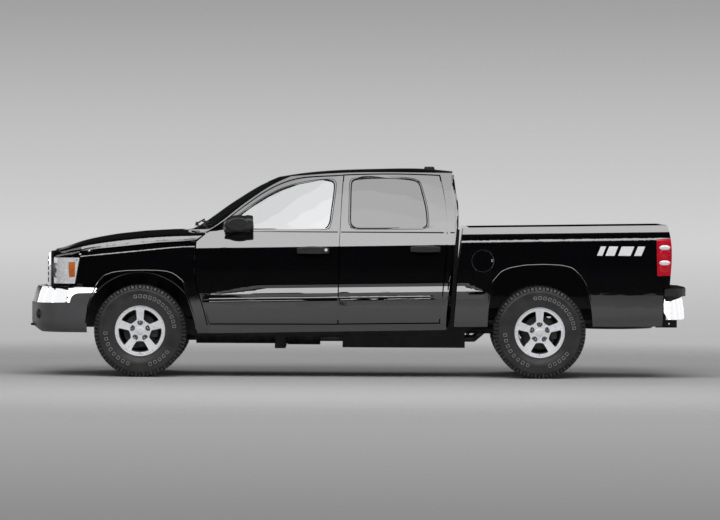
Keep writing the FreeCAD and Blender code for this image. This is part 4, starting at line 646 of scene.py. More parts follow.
WINDOW_INNER_R = 0.093
WINDOW_OUTER_R = 0.180
LUG_CIRCLE_R = 0.0715
FACE_FRONT = [(0.0, -0.071), (0.028, -0.071), (0.034, -0.066), (0.060, -0.067), (0.092, -0.072),
              (0.135, -0.082), (0.176, -0.091), (0.190, -0.0945), (0.1985, -0.0955), (0.2005, -0.091),
              (0.2035, -0.091), (0.2055, -0.100), (0.2105, -0.102), (0.218, -0.102), (0.2205, -0.099),
              (0.2205, -0.092)]
FACE_BACK = [(0.205, -0.088), (0.190, -0.066), (0.150, -0.058), (0.100, -0.050), (0.060, -0.046),
             (0.0, -0.046)]
BARREL = [(0.178, -0.066), (0.172, -0.030), (0.172, 0.032), (0.189, 0.058), (0.194, 0.088), (0.212, 0.102),
          (0.220, 0.102), (0.220, 0.094), (0.203, 0.090), (0.199, 0.060), (0.181, 0.036), (0.181, -0.030),
          (0.199, -0.062), (0.203, -0.089)]
BRAKE_DISC = [(0.055, -0.012), (0.139, -0.012), (0.141, -0.010), (0.141, 0.010), (0.139, 0.012),
              (0.055, 0.012)]
BRAKE_HUB = [(0.0, -0.040), (0.045, -0.040), (0.062, -0.032), (0.066, 0.030), (0.0, 0.030)]
CENTRE_CAP = [(0.0, -0.0785), (0.012, -0.0782), (0.0135, -0.0768), (0.024, -0.0755), (0.0265, -0.0725),
              (0.0265, -0.0690), (0.0, -0.0690)]
TYRE_WALL = [(0.2038, -0.089), (0.2085, -0.101), (0.216, -0.1055), (0.222, -0.106), (0.232, -0.109),
             (0.250, -0.115), (0.268, -0.1205), (0.292, -0.125), (0.312, -0.1243), (0.3300, -0.1225),
             (0.3345, -0.1235), (0.3405, -0.1222), (0.345, -0.1185), (0.352, -0.1145)]
WALL_INSIDE = [(0.340, 0.108), (0.300, 0.119), (0.260, 0.112), (0.222, 0.099), (0.210, 0.080)]
TREAD_BASE = [(0.350, -0.1150), (0.356, -0.1120), (0.366, -0.1040), (0.372, -0.0940), (0.3745, -0.0820),
              (0.375, -0.050)]
BASE_INSIDE = [(0.360, 0.050), (0.345, 0.105)]
BLOCKS_ROUND = 72


def roll_to(bm, verts, turn):
    """Turns a piece of the wheel about its axle."""
    bmesh.ops.rotate(bm, verts=verts, cent=(0, 0, 0), matrix=Matrix.Rotation(turn, 3, "Y"))


def window_cutter(turn):
    """One of the five windows between the spokes, as a body to cut with."""
    bm = bmesh.new()
    corners = [(WINDOW_OUTER_R, -25 + 50 * part / 8) for part in range(9)]
    corners += [(WINDOW_INNER_R - 0.006 * (1 - abs(part - 2) / 2), 19 - 38 * part / 4) for part in range(5)]
    face = bm.faces.new([bm.verts.new((r * math.sin(math.radians(a)), -0.2, r * math.cos(math.radians(a))))
                         for r, a in corners])
    drawn = bmesh.ops.extrude_face_region(bm, geom=[face])["geom"]
    bmesh.ops.translate(bm, verts=[g for g in drawn if isinstance(g, bmesh.types.BMVert)], vec=(0, 0.25, 0))
    upright = [e for e in bm.edges if abs(e.verts[0].co.y - e.verts[1].co.y) > 0.1
               and e.calc_face_angle(0) > math.radians(40)]
    round_edges(bm, upright, 0.011, 4)
    roll_to(bm, bm.verts, turn)
    return working_object(bm, "window_cutter")


def working_object(bm, name):
    """An object that is used up while another is made."""
    bmesh.ops.recalc_face_normals(bm, faces=bm.faces)
    mesh = bpy.data.meshes.new(name)
    bm.to_mesh(mesh)
    bm.free()
    made = bpy.data.objects.new(name, mesh)
    bpy.context.scene.collection.objects.link(made)
    return made


def spoked_face():
    """The wheel's cast face: a dished disc, five windows cut out and all its edges rounded."""
    bm = turned(FACE_FRONT + FACE_BACK, 96, closed=False)
    bmesh.ops.remove_doubles(bm, verts=bm.verts, dist=1e-5)
    face = working_object(bm, "spoked_face")
    cutters = [window_cutter(math.radians(36 + 72 * k)) for k in range(5)]
    for cutter in cutters:
        cut = face.modifiers.new("window", "BOOLEAN")
        cut.operation = "DIFFERENCE"
        cut.solver = "EXACT"
        cut.object = cutter
    round_off = face.modifiers.new("round_off", "BEVEL")
    round_off.width = 0.0045
    round_off.segments = 3
    round_off.limit_method = "ANGLE"
    round_off.angle_limit = math.radians(50)
    round_off.use_clamp_overlap = True
    bpy.context.view_layer.update()
    made = bpy.data.meshes.new_from_object(face.evaluated_get(bpy.context.evaluated_depsgraph_get()))
    for used in cutters + [face]:
        bpy.data.objects.remove(used)
    return made


SPOKED_FACE = spoked_face()


def alloy_face():
    bm = bmesh.new()
    bm.from_mesh(SPOKED_FACE)
    return bm


# The rim's barrel in darkened alloy: painted shade inside the wheel, seen through its windows.
def rim_barrel():
    return turned(BARREL, 72)


def brake():
    """A disc, its hub and the caliper's block."""
    bm = turned(BRAKE_DISC, 64)
    add_turned(bm, BRAKE_HUB, 48, closed=False)
    add_block(bm, (0.085, -0.035, -0.055), (0.150, 0.030, 0.055), 0.008)
    return bm


def five_rods(rods):
    """Rods on the lug circle, each given by its two ends, two radii and its count of sides."""
    bm = bmesh.new()
    for k in range(5):
        x, _, z = Matrix.Rotation(2 * math.pi * k / 5, 3, "Y") @ Vector((0, 0, LUG_CIRCLE_R))
        for start, end, radius, radius_end, segments in rods:
            add_rod(bm, (x, start, z), (x, end, z), radius, radius_end, segments)
    return bm


def lug_nuts():
    """Washer, six-sided nut and rounded tip."""
    return five_rods([(-0.0690, -0.0715, 0.0145, 0.0135, 24), (-0.0700, -0.0840, 0.0108, 0.0100, 6),
                      (-0.0840, -0.0870, 0.0096, 0.0060, 18)])


# Wells round the lug nuts in darkened alloy: painted shade round each nut.
def lug_wells():
    return five_rods([(-0.0655, -0.0706, 0.0250, 0.0240, 28)])


def centre_cap():
    return turned(CENTRE_CAP, 40, closed=False)


def valve():
    bm = bmesh.new()
    add_rod(bm, (0, -0.088, -0.187), (0, -0.104, -0.184), 0.0042, 0.0036, 12)
    return bm


def ring_between(profile, inside):
    """A closed ring: a profile, its mirror image, and the same inside."""
    there = profile + [(r, -y) for r, y in reversed(profile)]
    return turned(there + inside + [(r, -y) for r, y in reversed(inside)], 120)


def tyre_walls():
    return ring_between(TYRE_WALL, WALL_INSIDE)


# The crown under the tread blocks, near black: painted shade in the grooves between the blocks.
def tread_base():
    return ring_between(TREAD_BASE, BASE_INSIDE)


def shoulder_lug(bm, side, foot):
    """A lug that runs from the tread over the shoulder on to the wall."""
    wall = add_side_block(bm, side, (-0.0100, 0.098, foot), (0.0100, 0.1215, 0.377))
    for vert in wall:
        if vert.co.z > 0.37 and abs(vert.co.y) > 0.11:
            vert.co.y = side * 0.1135
    top = add_side_block(bm, side, (-0.0102, 0.068, 0.370), (0.0102, 0.1132, 0.3856))
    for vert in top:
        if vert.co.z > 0.38 and abs(vert.co.y) > 0.1:
            vert.co.z = 0.3785
    return wall + top


def tread_blocks():
    """Three rows of skewed blocks, and a lug on each shoulder beside them."""
    bm = bmesh.new()
    pitch = 2 * math.pi / BLOCKS_ROUND
    for k in range(BLOCKS_ROUND):
        skew = Matrix.Rotation(math.radians(18 if k % 2 else -8), 3, "Z")
        for y, width, phase in ((0.0, 0.030, 0.0), (0.045, 0.034, 0.5), (-0.045, 0.034, 0.5)):
            made = add_block(bm, (-0.0125, y - width / 2, 0.374), (0.0125, y + width / 2, 0.3858))
            bmesh.ops.rotate(bm, verts=made, cent=(0, y, 0.38), matrix=skew)
            roll_to(bm, made, (k + phase) * pitch)
        for side in SIDES:
            roll_to(bm, shoulder_lug(bm, side, 0.348 if k % 2 else 0.356), k * pitch)
    return bm


def wall_marks():
    """Rows of plain outlined tablets on the outer wall of a tyre."""
    bm = bmesh.new()
    wide, line, middle = 0.0125, 0.0034, 0.2885
    for start, count, pitch in ((-8, 12, 8.2), (128, 5, 8.6), (200, 8, 9.4)):
        for k in range(count):
            tall = 0.0140 + 0.0005 * ((k * 5) % 3)
            for x0, x1, z0, z1 in ((-wide, -wide + line, -tall, tall), (wide - line, wide, -tall, tall),
                                   (-wide, wide, -tall, -tall + line), (-wide, wide, tall - line, tall)):
                made = add_block(bm, (x0, -0.1272, middle + z0), (x1, -0.1235, middle + z1))
                roll_to(bm, made, math.radians(start + k * pitch))
    return bm


WHEEL_PARTS = [
    (alloy_face, ALLOY, 40, "wheel_"), (rim_barrel, SHADED_ALLOY, 40, None), (brake, CAST_METAL, 35, None),
    (lug_nuts, CHROME, 30, None), (lug_wells, SHADED_ALLOY, 30, None), (centre_cap, ALLOY, 30, None),
    (valve, DARK_PLASTIC, 30, None), (tyre_walls, TYRE_RUBBER, 32, "tyre_"),
    (tread_base, TREAD_SHADE, 32, "tyre_"), (tread_blocks, TYRE_RUBBER, 32, "tyre_"),
    (wall_marks, SIDEWALL_INK, 30, None),
]


def dress_wheel(end, side):
    """One whole wheel, its outer side facing away from the truck."""
    name = "%s_%s" % (end, side_name(side))
    turn = Matrix.Rotation(math.pi if side > 0 else 0, 4, "Z")
    place = Matrix.Translation((AXLE_X[end], side * WHEEL_PLANE_Y, WHEEL_CENTRE_Z)) @ turn
    for part, finish, degrees, stands_for in WHEEL_PARTS:
        piece = make_piece(placed(part(), place), "%s_%s" % (part.__name__, name), finish,
                           "%s_wheel_%s" % (end, side_name(side)), degrees,
                           recalculate=part is not alloy_face)
        if part is alloy_face:
            even_shading(piece, 50)
        if stands_for:
            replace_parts(piece, stands_for + name)


# ---------------------------------------------------------------- cab side, handles and mirrors

ARCH_FRONT = [(-2.262, 0.45), (-2.244, 0.597), (-2.215, 0.68), (-2.168, 0.776), (-2.11, 0.84),
              (-2.034, 0.866), (-1.932, 0.878), (-1.803, 0.882), (-1.676, 0.881), (-1.6, 0.873),
              (-1.548, 0.854), (-1.497, 0.816), (-1.466, 0.785), (-1.42, 0.64), (-1.381, 0.519),
              (-1.352, 0.42)]
ARCH_REAR = [(1.086, 0.46), (1.084, 0.528), (1.098, 0.662), (1.127, 0.795), (1.203, 0.885), (1.271, 0.915),
             (1.395, 0.938), (1.538, 0.944), (1.682, 0.939), (1.778, 0.917), (1.844, 0.855), (1.893, 0.778),
             (1.931, 0.665), (1.95, 0.55), (1.952, 0.46)]
FRONT_WINDOW = [(-0.247, 1.243), (-0.225, 1.405), (-0.203, 1.567), (-0.203, 1.63), (-0.237, 1.65),
                (-0.39, 1.639), (-0.534, 1.61), (-0.677, 1.56), (-0.82, 1.478), (-0.915, 1.41), (-1.01, 1.34),
                (-1.112, 1.24), (-0.9, 1.236), (-0.7, 1.238), (-0.5, 1.24), (-0.35, 1.242)]
REAR_WINDOW = [(-0.07, 1.247), (-0.067, 1.4), (-0.064, 1.55), (-0.062, 1.64), (-0.03, 1.662), (0.1, 1.667),
               (0.27, 1.668), (0.44, 1.662), (0.505, 1.638), (0.533, 1.54), (0.56, 1.44), (0.572, 1.35),
               (0.574, 1.253), (0.45, 1.252), (0.3, 1.25), (0.1, 1.248)]
CAB_BACK = [(0.757, 0.42), (0.800, 0.86), (0.842, 1.256), (0.838, 1.459), (0.813, 1.58), (0.799, 1.70)]
BELT_Z = 1.2165
WINDOWS = {"front": (FRONT_WINDOW, (-0.55, 1.40), (-1.20, -0.172)),
           "rear": (REAR_WINDOW, (0.25, 1.45), (-0.145, 0.712))}
HANDLES = {"front": ((-0.514, 1.029), (-0.242, 1.111)), "rear": ((0.4335, 1.047), (0.685, 1.123))}
HANDLE_OUT = 0.017
HANDLE_BOW = 0.016
HANDLE_CUP = [(0.0, 0.0), (0.034, 0.0), (0.036, 0.0015), (0.040, 0.0018), (0.041, -0.002), (0.0, -0.002)]


def belt_line(start, end, count):
    return [(start + (end - start) * k / count, BELT_Z) for k in range(count + 1)]


def window_lines(side, row):
    """The seal round a door's glass, a dark tube in the crease round its frame as painted shade, and the seal
    under it.
    """
    name = "%s_%s" % (row, side_name(side))
    body = "%s_door_%s" % (row, side_name(side))
    outline, centre, span = WINDOWS[row]
    tree = skin_tree("door_" + name, "glass_" + name)
    seal = line_on_side(tree, outline, side)
    tube_piece("window_seal_" + name, seal, 0.0055, RUBBER_SEAL, body, closed=True)
    # A thin dark rubber tube sunk in the frame's crease: painted shade in the crease.
    crease = line_on_side(tree, grown(outline, centre, 1.045), side, -0.0015)
    tube_piece("frame_crease_shade_line_" + name, crease, 0.003, RUBBER_SEAL, body, closed=True)
    belt = line_on_side(tree, belt_line(*span, 12), side)
    tube_piece("belt_seal_" + name, belt, 0.005, RUBBER_SEAL, body)


def pull_handle(side, row):
    """A pull bar over a dished cup, on the front door with a round lock at its rear end."""
    name = "%s_%s" % (row, side_name(side))
    body = "%s_door_%s" % (row, side_name(side))
    (low_x, low_z), (high_x, high_z) = HANDLES[row]
    middle_x, middle_z = (low_x + high_x) / 2, (low_z + high_z) / 2
    skin = abs(skin_at(skin_tree("door_" + name), middle_x, middle_z, side))
    bm = bmesh.new()
    add_block(bm, (low_x, -0.011, low_z + 0.006), (high_x, 0.011, high_z - 0.014), 0.0104, 4)
    bmesh.ops.subdivide_edges(bm, edges=[e for e in bm.edges if e.calc_length() > 0.1], cuts=9)
    for vert in bm.verts:
        reach = (vert.co.x - middle_x) / (high_x - middle_x)
        vert.co.y += side * (skin + HANDLE_OUT + HANDLE_BOW * (1 - reach * reach))
        vert.co.z += reach * reach * (-0.010 if vert.co.z > middle_z else 0.004)
    for x in (low_x + 0.016, high_x - 0.016):
        add_side_block(bm, side, (x - 0.013, skin - 0.004, low_z + 0.016),
                       (x + 0.013, skin + 0.020, high_z - 0.026), 0.004)
    make_piece(bm, "handle_" + name, MIRROR_PLASTIC, body, 45)
    place = Matrix.Translation((middle_x - 0.01, side * skin, middle_z - 0.008))
    cup = placed(turned(HANDLE_CUP, 40, closed=False), place @ Matrix.Diagonal((2.1, side, 0.74, 1)))
    make_piece(cup, "handle_cup_" + name, RUBBER_SEAL, body, 45)
    if row == "front":
        bm = bmesh.new()
        x, z = high_x - 0.028, middle_z - 0.002
        add_rod(bm, (x, side * (skin - 0.004), z), (x, side * (skin + 0.044), z), 0.0135, 0.0125, 28)
        make_piece(bm, "lock_" + name, ALLOY, body, 45)


MIRROR_Y = 0.935
MIRROR_SQUARENESS = 3.2
MIRROR_RINGS = [(-1.120, 1.222, 0.010, 0.008), (-1.085, 1.238, 0.034, 0.025), (-1.030, 1.263, 0.066, 0.049),
                (-0.975, 1.281, 0.092, 0.063), (-0.925, 1.290, 0.104, 0.067), (-0.892, 1.291, 0.107, 0.062),
                (-0.880, 1.290, 0.103, 0.056)]


def mirror_ring(bm, centre, half_wide, half_tall, filled=False):
    """A ring square to the truck's length, between a circle and a rectangle in shape."""
    ring = bmesh.ops.create_circle(bm, cap_ends=filled, segments=36, radius=1)["verts"]
    for vert in ring:
        u, v = vert.co.x, vert.co.y
        soften = (abs(u) ** MIRROR_SQUARENESS + abs(v) ** MIRROR_SQUARENESS) ** (1 / MIRROR_SQUARENESS)
        vert.co = (centre[0], centre[1] + half_wide * u / soften, centre[2] + half_tall * v / soften)
    return ring


def door_mirror(side):
    """A wedge housing that widens rearward, its glass, and the foot on the door."""
    name = side_name(side)
    body = "front_door_" + name
    centre_y = side * MIRROR_Y
    bm = bmesh.new()
    rings = [mirror_ring(bm, (x, centre_y - side * (half_wide - 0.104) * 0.25, z), half_wide, half_tall)
             for x, z, half_wide, half_tall in MIRROR_RINGS]
    bmesh.ops.bridge_loops(bm, edges=[e for ring in rings for e in {e for v in ring for e in v.link_edges}])
    for ring in (rings[0], rings[-1]):
        loop = list({e for v in ring for e in v.link_edges if e.other_vert(v) in ring})
        filled = bmesh.ops.contextual_create(bm, geom=loop)["faces"]
    bmesh.ops.inset_region(bm, faces=filled, thickness=0.006)
    bmesh.ops.translate(bm, verts=filled[0].verts, vec=(-0.014, 0, 0))
    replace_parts(make_piece(bm, "mirror_housing_" + name, MIRROR_PLASTIC, body), "mirror_" + name)
    bm = bmesh.new()
    mirror_ring(bm, (-0.893, centre_y, 1.290), 0.094, 0.046, filled=True)
    bmesh.ops.solidify(bm, geom=bm.faces[:], thickness=0.002)
    make_piece(bm, "mirror_glass_" + name, CHROME, body)
    bm = bmesh.new()
    add_side_block(bm, side, (-1.020, 0.842, 1.214), (-0.900, 0.900, 1.258), 0.012, 3)
    make_piece(bm, "mirror_foot_" + name, DARK_PLASTIC, body)


def arch_lip(end, node, outline, centre, side):
    """The rolled edge of a wheel arch."""
    laid_strip("arch_lip_%s_%s" % (end, side_name(side)), skin_tree(node), side,
               grown(outline, centre, 1.010), grown(outline, centre, 1.035),
               [(0.0, 0.0), (0.08, 0.0018), (0.7, 0.0018), (1.0, 0.0)], BLACK_PAINT, 60, 0.003)


def corner_roll(side):
    """The cab's rear corner, rolled inwards along its whole height, and the end of the belt's seal on it."""
    tree = skin_tree("cab_shell")
    belt = line_on_side(tree, belt_line(0.742, 0.832, 4), side)
    tube_piece("belt_seal_corner_" + side_name(side), belt, 0.005, RUBBER_SEAL)
    laid_strip("cab_corner_roll_" + side_name(side), tree, side, [(x - 0.034, z) for x, z in CAB_BACK],
               [(x - 0.003, z) for x, z in CAB_BACK],
               [(0.0, 0.0015), (0.25, 0.0040), (0.5, 0.0025), (0.75, -0.0030), (1.0, -0.0120)],
               BLACK_PAINT, 50, 0.010)


# ---------------------------------------------------------------- front

def grille_bars():
    """Nine level bars over a row of thin uprights."""
    bm = bmesh.new()
    for k in range(9):
        z = 0.796 + 0.0255 * k
        x = -2.566 + 0.03 * (z - 0.79) / 0.21
        add_block(bm, (x - 0.008, -0.432, z - 0.0035), (x + 0.012, 0.432, z + 0.0035), 0.002)
    for k in range(25):
        y = -0.42 + 0.035 * k
        add_rod(bm, (-2.556, y, 0.784), (-2.526, y, 1.012), 0.004, segments=10)
    make_piece(bm, "grille_bars", DARK_PLASTIC)


def fog_lamps():
    """A ring and a lens on each side, turned to the bumper's curve."""
    tree = skin_tree("front_fascia", "front_bumper")
    ring_profile = [(0.028, 0.004), (0.035, 0.006), (0.041, 0.001), (0.041, -0.02), (0.028, -0.02)]
    lens_profile = [(0.0, 0.004), (0.018, 0.0025), (0.028, 0.0), (0.028, -0.018), (0.0, -0.018)]
    rings, lenses = bmesh.new(), bmesh.new()
    for side in SIDES:
        turn = Matrix.Rotation(math.radians(90 + side * 22), 4, "Z")
        place = Matrix.Translation(front_at(tree, side * 0.66, 0.520)) @ turn
        join(rings, placed(turned(ring_profile, 44), place))
        join(lenses, placed(turned(lens_profile, 44, closed=False), place))
    make_piece(rings, "fog_lamp_rings", DARK_PLASTIC)
    make_piece(lenses, "fog_lamp_lenses", REFLECTOR)


def tow_hooks():
    bm = bmesh.new()
    for side in SIDES:
        bend = [(-2.60, 0.34), (-2.70, 0.34), (-2.742, 0.35), (-2.750, 0.38), (-2.742, 0.41), (-2.70, 0.42),
                (-2.60, 0.42)]
        bm.from_mesh(tube_mesh([(x, side * y, 0.425) for x, y in bend], 0.011))
    make_piece(bm, "tow_hooks", FRAME_STEEL)


def head_lamp(side):
    """The amber side marker, the two round bowls and the lamp's rear edge."""
    name = side_name(side)
    tree = skin_tree("headlamps")
    laid_strip("amber_marker_" + name, tree, side, [(-2.414, 0.828), (-2.366, 0.832)],
               [(-2.420, 0.955), (-2.364, 0.957)],
               [(0.0, 0.0), (0.1, 0.003), (0.5, 0.004), (0.9, 0.003), (1.0, 0.0)], LAMP_AMBER, 10, 0.002)
    bm = bmesh.new()
    for y, z, radius in ((side * 0.60, 0.895, 0.068), (side * 0.745, 0.885, 0.058)):
        x = front_at(tree, y, z).x
        line = circle((0.0, z), radius, 12)
        bm.from_mesh(tube_mesh([(x - 0.003, y + side * u, v) for u, v in line], 0.006, closed=True))
        add_rod(bm, (x - 0.006, y, z), (x + 0.01, y, z), 0.018, 0.030, 28)
    # The bowls are in darkened alloy: painted shade in the hollows of the lamp.
    make_piece(bm, "lamp_bowls_" + name, SHADED_ALLOY, degrees=45)
    edge = [(-2.346, 0.800), (-2.342, 0.90), (-2.350, 0.978)]
    tube_piece("lamp_edge_" + name, line_on_side(tree, edge, side), 0.007, GREY_PLASTIC)


# ---------------------------------------------------------------- rear and bed

def tailgate_latch():
    bm = bmesh.new()
    add_block(bm, (2.612, -0.125, 1.120), (2.622, 0.125, 1.205), 0.004)
    add_block(bm, (2.616, -0.085, 1.128), (2.625, 0.085, 1.172), 0.004)
    make_piece(bm, "tailgate_latch_plate", DARK_PLASTIC, "tailgate")


def step_tread():
    """Raised lines on the step pad, shorter where the pad is narrower."""
    bm = bmesh.new()
    for k in range(9):
        x = 2.630 + 0.013 * k
        reach = 0.70 if x < 2.70 else 0.56
        add_block(bm, (x - 0.003, -reach, 0.7555), (x + 0.003, reach, 0.7595), 0.001, 1)
    make_piece(bm, "step_tread", DARK_PLASTIC)


def tail_lamp(side):
    """Two red domes with a clear cap over each."""
    tree = skin_tree("tail_lamps")
    red, clear = bmesh.new(), bmesh.new()
    for z in (1.052, 0.925):
        y = skin_at(tree, 2.558, z, side)
        add_ball(red, (2.558, y, z), (0.046, 0.008, 0.036))
        add_ball(clear, (2.556, y, z + 0.047), (0.046, 0.0085, 0.022))
    make_piece(red, "tail_domes_" + side_name(side), LAMP_RED, degrees=60)
    make_piece(clear, "tail_caps_" + side_name(side), REFLECTOR, degrees=60)


def bed_floor_ribs():
    bm = bmesh.new()
    for k in range(9):
        y = -0.48 + 0.12 * k
        add_block(bm, (0.92, y - 0.030, 0.799), (2.50, y + 0.030, 0.8065), 0.003)
    make_piece(bm, "bed_floor_ribs", BLACK_PAINT)


def tie_downs():
    """A wire loop on a plate in each corner of the bed."""
    bm = bmesh.new()
    for x in (0.93, 2.44):
        for side in SIDES:
            loop = [(x - 0.03, 0.770), (x - 0.03, 0.745), (x + 0.03, 0.745), (x + 0.03, 0.770)]
            bm.from_mesh(tube_mesh([(u, side * y, 1.08) for u, y in loop], 0.005))
            add_side_block(bm, side, (x - 0.045, 0.766, 1.055), (x + 0.045, 0.776, 1.105), 0.004)
    make_piece(bm, "tie_downs", FRAME_STEEL)


def cab_bed_gap_shade(side):
    """A dark upright sheet that leans with the cab's back: painted shade in the gap between cab and bed."""
    bm = bmesh.new()
    for vert in add_side_block(bm, side, (0.768, 0.64, 0.46), (0.800, 0.815, 1.24)):
        vert.co.x += 0.045 * (vert.co.z - 0.46) / 0.78
    make_piece(bm, "cab_bed_gap_shade_" + side_name(side), TREAD_SHADE)


def fuel_door_highlight_and_grip():
    """A pale ring round the fuel door, a painted highlight along its edge, and its finger grip."""
    # The ring is pale alloy: a painted highlight along the fuel door's edge.
    rim = line_on_side(skin_tree("bed", "fuel_door"), circle((1.039, 0.981), 0.0925, 32), -1, 0.0004)
    tube_piece("fuel_door_rim", rim, 0.0028, ALLOY, closed=True)
    bm = bmesh.new()
    add_block(bm, (1.108, -0.9075, 0.976), (1.124, -0.9030, 0.992), 0.002)
    make_piece(bm, "fuel_door_grip", CHROME, "fuel_door")


def side_bars(side):
    """Four slanted white bars near the rear of the bed's side."""
    tree = skin_tree("bed")
    for k, (x, width) in enumerate(((1.99, 0.045), (2.06, 0.075), (2.165, 0.105), (2.30, 0.06))):
        laid_strip("side_bar_%s_%d" % (side_name(side), k + 1), tree, side, [(x, 1.030), (x + width, 1.030)],
                   [(x + 0.032, 1.108), (x + width + 0.032, 1.108)],
                   [(0.0, 0.0006), (0.5, 0.0008), (1.0, 0.0006)], BAR_WHITE, 6, 0.0012)


# ---------------------------------------------------------------- roof, cowl and arches

def roof_antenna():
    """A low housing that narrows upwards."""
    bm = bmesh.new()
    add_block(bm, (0.546, -0.055, 1.742), (0.646, 0.055, 1.766), 0.010, 4)
    for vert in bm.verts:
        if vert.co.z > 1.75:
            vert.co.x += 0.010 if vert.co.x < 0.596 else -0.006
            vert.co.y *= 0.86
    make_piece(bm, "roof_antenna", DARK_PLASTIC)


def over_screen(tree, y, z, lift):
    """A point a little off the windscreen."""
    return Vector((front_at(tree, y, z).x - lift, y, z + lift * 0.6))


def wipers():
    """Two arms with their pivots and blades."""
    tree = skin_tree("cab_glass", "cab_shell")
    bm = bmesh.new()
    for y_pivot, y_tip in ((-0.62, -0.06), (-0.02, 0.52)):
        pivot = over_screen(tree, y_pivot, 1.262, 0.020)
        elbow = over_screen(tree, (y_pivot + y_tip) / 2, 1.292, 0.030)
        add_rod(bm, pivot, elbow, 0.007, 0.005, 12)
        add_rod(bm, pivot - Vector((0, 0, 0.018)), pivot + Vector((0, 0, 0.014)), 0.016, 0.011, 20)
        add_rod(bm, over_screen(tree, y_pivot + 0.05, 1.285, 0.012), over_screen(tree, y_tip, 1.285, 0.012),
                0.0055, segments=10)
    make_piece(bm, "wipers", DARK_PLASTIC)


def cowl_slats():
    bm = bmesh.new()
    for k in range(21):
        y = -0.60 + 0.06 * k
        x = -1.455 + y * y / 4.5
        add_block(bm, (x, y - 0.022, 1.214), (x + 0.05, y + 0.022, 1.221), 0.002)
    make_piece(bm, "cowl_slats", DARK_PLASTIC)


def arch_aprons():
    """Thin plates inside the wheel arches."""
    bm = bmesh.new()
    for side in SIDES:
        for (low_x, inner_y, low_z), (high_x, high_z) in (((-2.32, 0.464, 0.54), (-2.10, 0.80)),
                                                          ((-1.52, 0.464, 0.50), (-1.36, 0.80)),
                                                          ((1.07, 0.552, 0.58), (1.965, 0.74))):
            add_side_block(bm, side, (low_x, inner_y, low_z), (high_x, inner_y + 0.006, high_z), 0.002)
    make_piece(bm, "arch_aprons", DARK_PLASTIC)


# ---------------------------------------------------------------- cabin

def pad_piece(name, low, high, seams, puff=0.012, power=7.0, lean=0.0):
    """A stuffed cushion: a rounded block with sewn channels pressed into its long face."""
    bm = bmesh.new()
    bmesh.ops.create_cube(bm, size=2)
    bmesh.ops.subdivide_edges(bm, edges=bm.edges[:], cuts=19, use_grid_fill=True)
    low, high = Vector(low), Vector(high)
    middle, half = (low + high) / 2, (high - low) / 2
    thin = 0 if half.x < half.z else 2
    for vert in bm.verts:
        p = vert.co / sum(abs(c) ** power for c in vert.co) ** (1 / power)
        bulge = puff * (1 - p.y ** 2) * (1 - p[2 - thin] ** 2)
        groove = sum(0.010 * math.exp(-((p.y * half.y - s) / 0.010) ** 2) for s in seams)
        vert.co = middle + p * half
        vert.co[thin] += (bulge - puff - groove) * (1 if p[thin] > 0 else -1) * min(1, abs(p[thin]) * 1.5)
        vert.co.x += lean * (vert.co.z - low.z)
    piece = make_piece(bm, name, SEAT_CLOTH, degrees=70)
    soften = piece.modifiers.new("soften", "SUBSURF")
    soften.levels = soften.render_levels = 1
    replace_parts(piece, "seats")


def seat_frames():
    """The runners under the seats and the rods of the head rests."""
    bm = bmesh.new()
    for y in (-0.36, 0.36):
        for x in (-0.50, -0.10):
            add_block(bm, (x - 0.02, y - 0.20, 0.536), (x + 0.02, y + 0.20, 0.68), 0.004)
        for offset in (-0.05, 0.05):
            add_rod(bm, (0.10, y + offset, 1.27), (0.112, y + offset, 1.36), 0.006, segments=12)
            bench_y = y * 0.944 + offset
            add_rod(bm, (0.64, bench_y, 1.27), (0.64, bench_y, 1.35), 0.006, segments=12)
    add_block(bm, (0.24, -0.60, 0.536), (0.64, 0.60, 0.675), 0.01)
    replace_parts(make_piece(bm, "seat_frames", FRAME_STEEL), "seats")


def seats():
    """Two front seats and a bench, with their head rests."""
    for side in SIDES:
        name, y = side_name(side), side * 0.36
        pad_piece("seat_cushion_" + name, (-0.54, y - 0.25, 0.665), (-0.03, y + 0.25, 0.835), (-0.16, 0.16))
        pad_piece("seat_back_" + name, (-0.045, y - 0.235, 0.70), (0.075, y + 0.235, 1.31), (-0.15, 0.15),
                  lean=0.06)
        pad_piece("head_rest_" + name, (0.072, y - 0.13, 1.325), (0.152, y + 0.13, 1.51), (), 0.008, 4.0)
    pad_piece("bench_cushion", (0.225, -0.62, 0.665), (0.655, 0.62, 0.835), (-0.31, 0.0, 0.31))
    pad_piece("bench_back", (0.590, -0.58, 0.70), (0.692, 0.58, 1.30), (-0.29, 0.0, 0.29))
    for side in SIDES:
        y = side * 0.34
        pad_piece("bench_head_rest_" + side_name(side), (0.60, y - 0.125, 1.316), (0.68, y + 0.125, 1.464),
                  (), 0.008, 4.0)
    seat_frames()


def dash_vents_and_knobs():
    """Four slatted vents, three knobs, a panel and the gear lever."""
    bm = bmesh.new()
    for y in (-0.62, -0.16, 0.10, 0.60):
        for k in range(4):
            z = 1.070 + 0.014 * k
            add_block(bm, (-0.952, y - 0.045, z), (-0.944, y + 0.045, z + 0.006), 0.001, 1)
    for k in range(3):
        y = -0.10 + 0.065 * k
        add_rod(bm, (-0.955, y, 0.93), (-0.935, y, 0.93), 0.020, 0.018, 28)
    add_block(bm, (-0.953, -0.12, 0.975), (-0.945, 0.07, 1.035), 0.003)
    add_rod(bm, (-0.60, 0.0, 0.74), (-0.63, 0.0, 0.86), 0.008, 0.007, 14)
    add_ball(bm, (-0.633, 0.0, 0.872), (0.024, 0.024, 0.024), (24, 16))
    make_piece(bm, "dash_vents_and_knobs", DARK_PLASTIC)


# ---------------------------------------------------------------- putting it together

def on_both_sides(build):
    for side in SIDES:
        build(side)


def bodyside(side):
    """Seals, handles, mirror and wheel-arch lips of one side."""
    for row in ("front", "rear"):
        window_lines(side, row)
    corner_roll(side)
    for row in ("front", "rear"):
        pull_handle(side, row)
    door_mirror(side)
    arch_lip("front", "fender_" + side_name(side), ARCH_FRONT, (-1.82, 0.50), side)
    arch_lip("rear", "bed", ARCH_REAR, (1.518, 0.52), side)


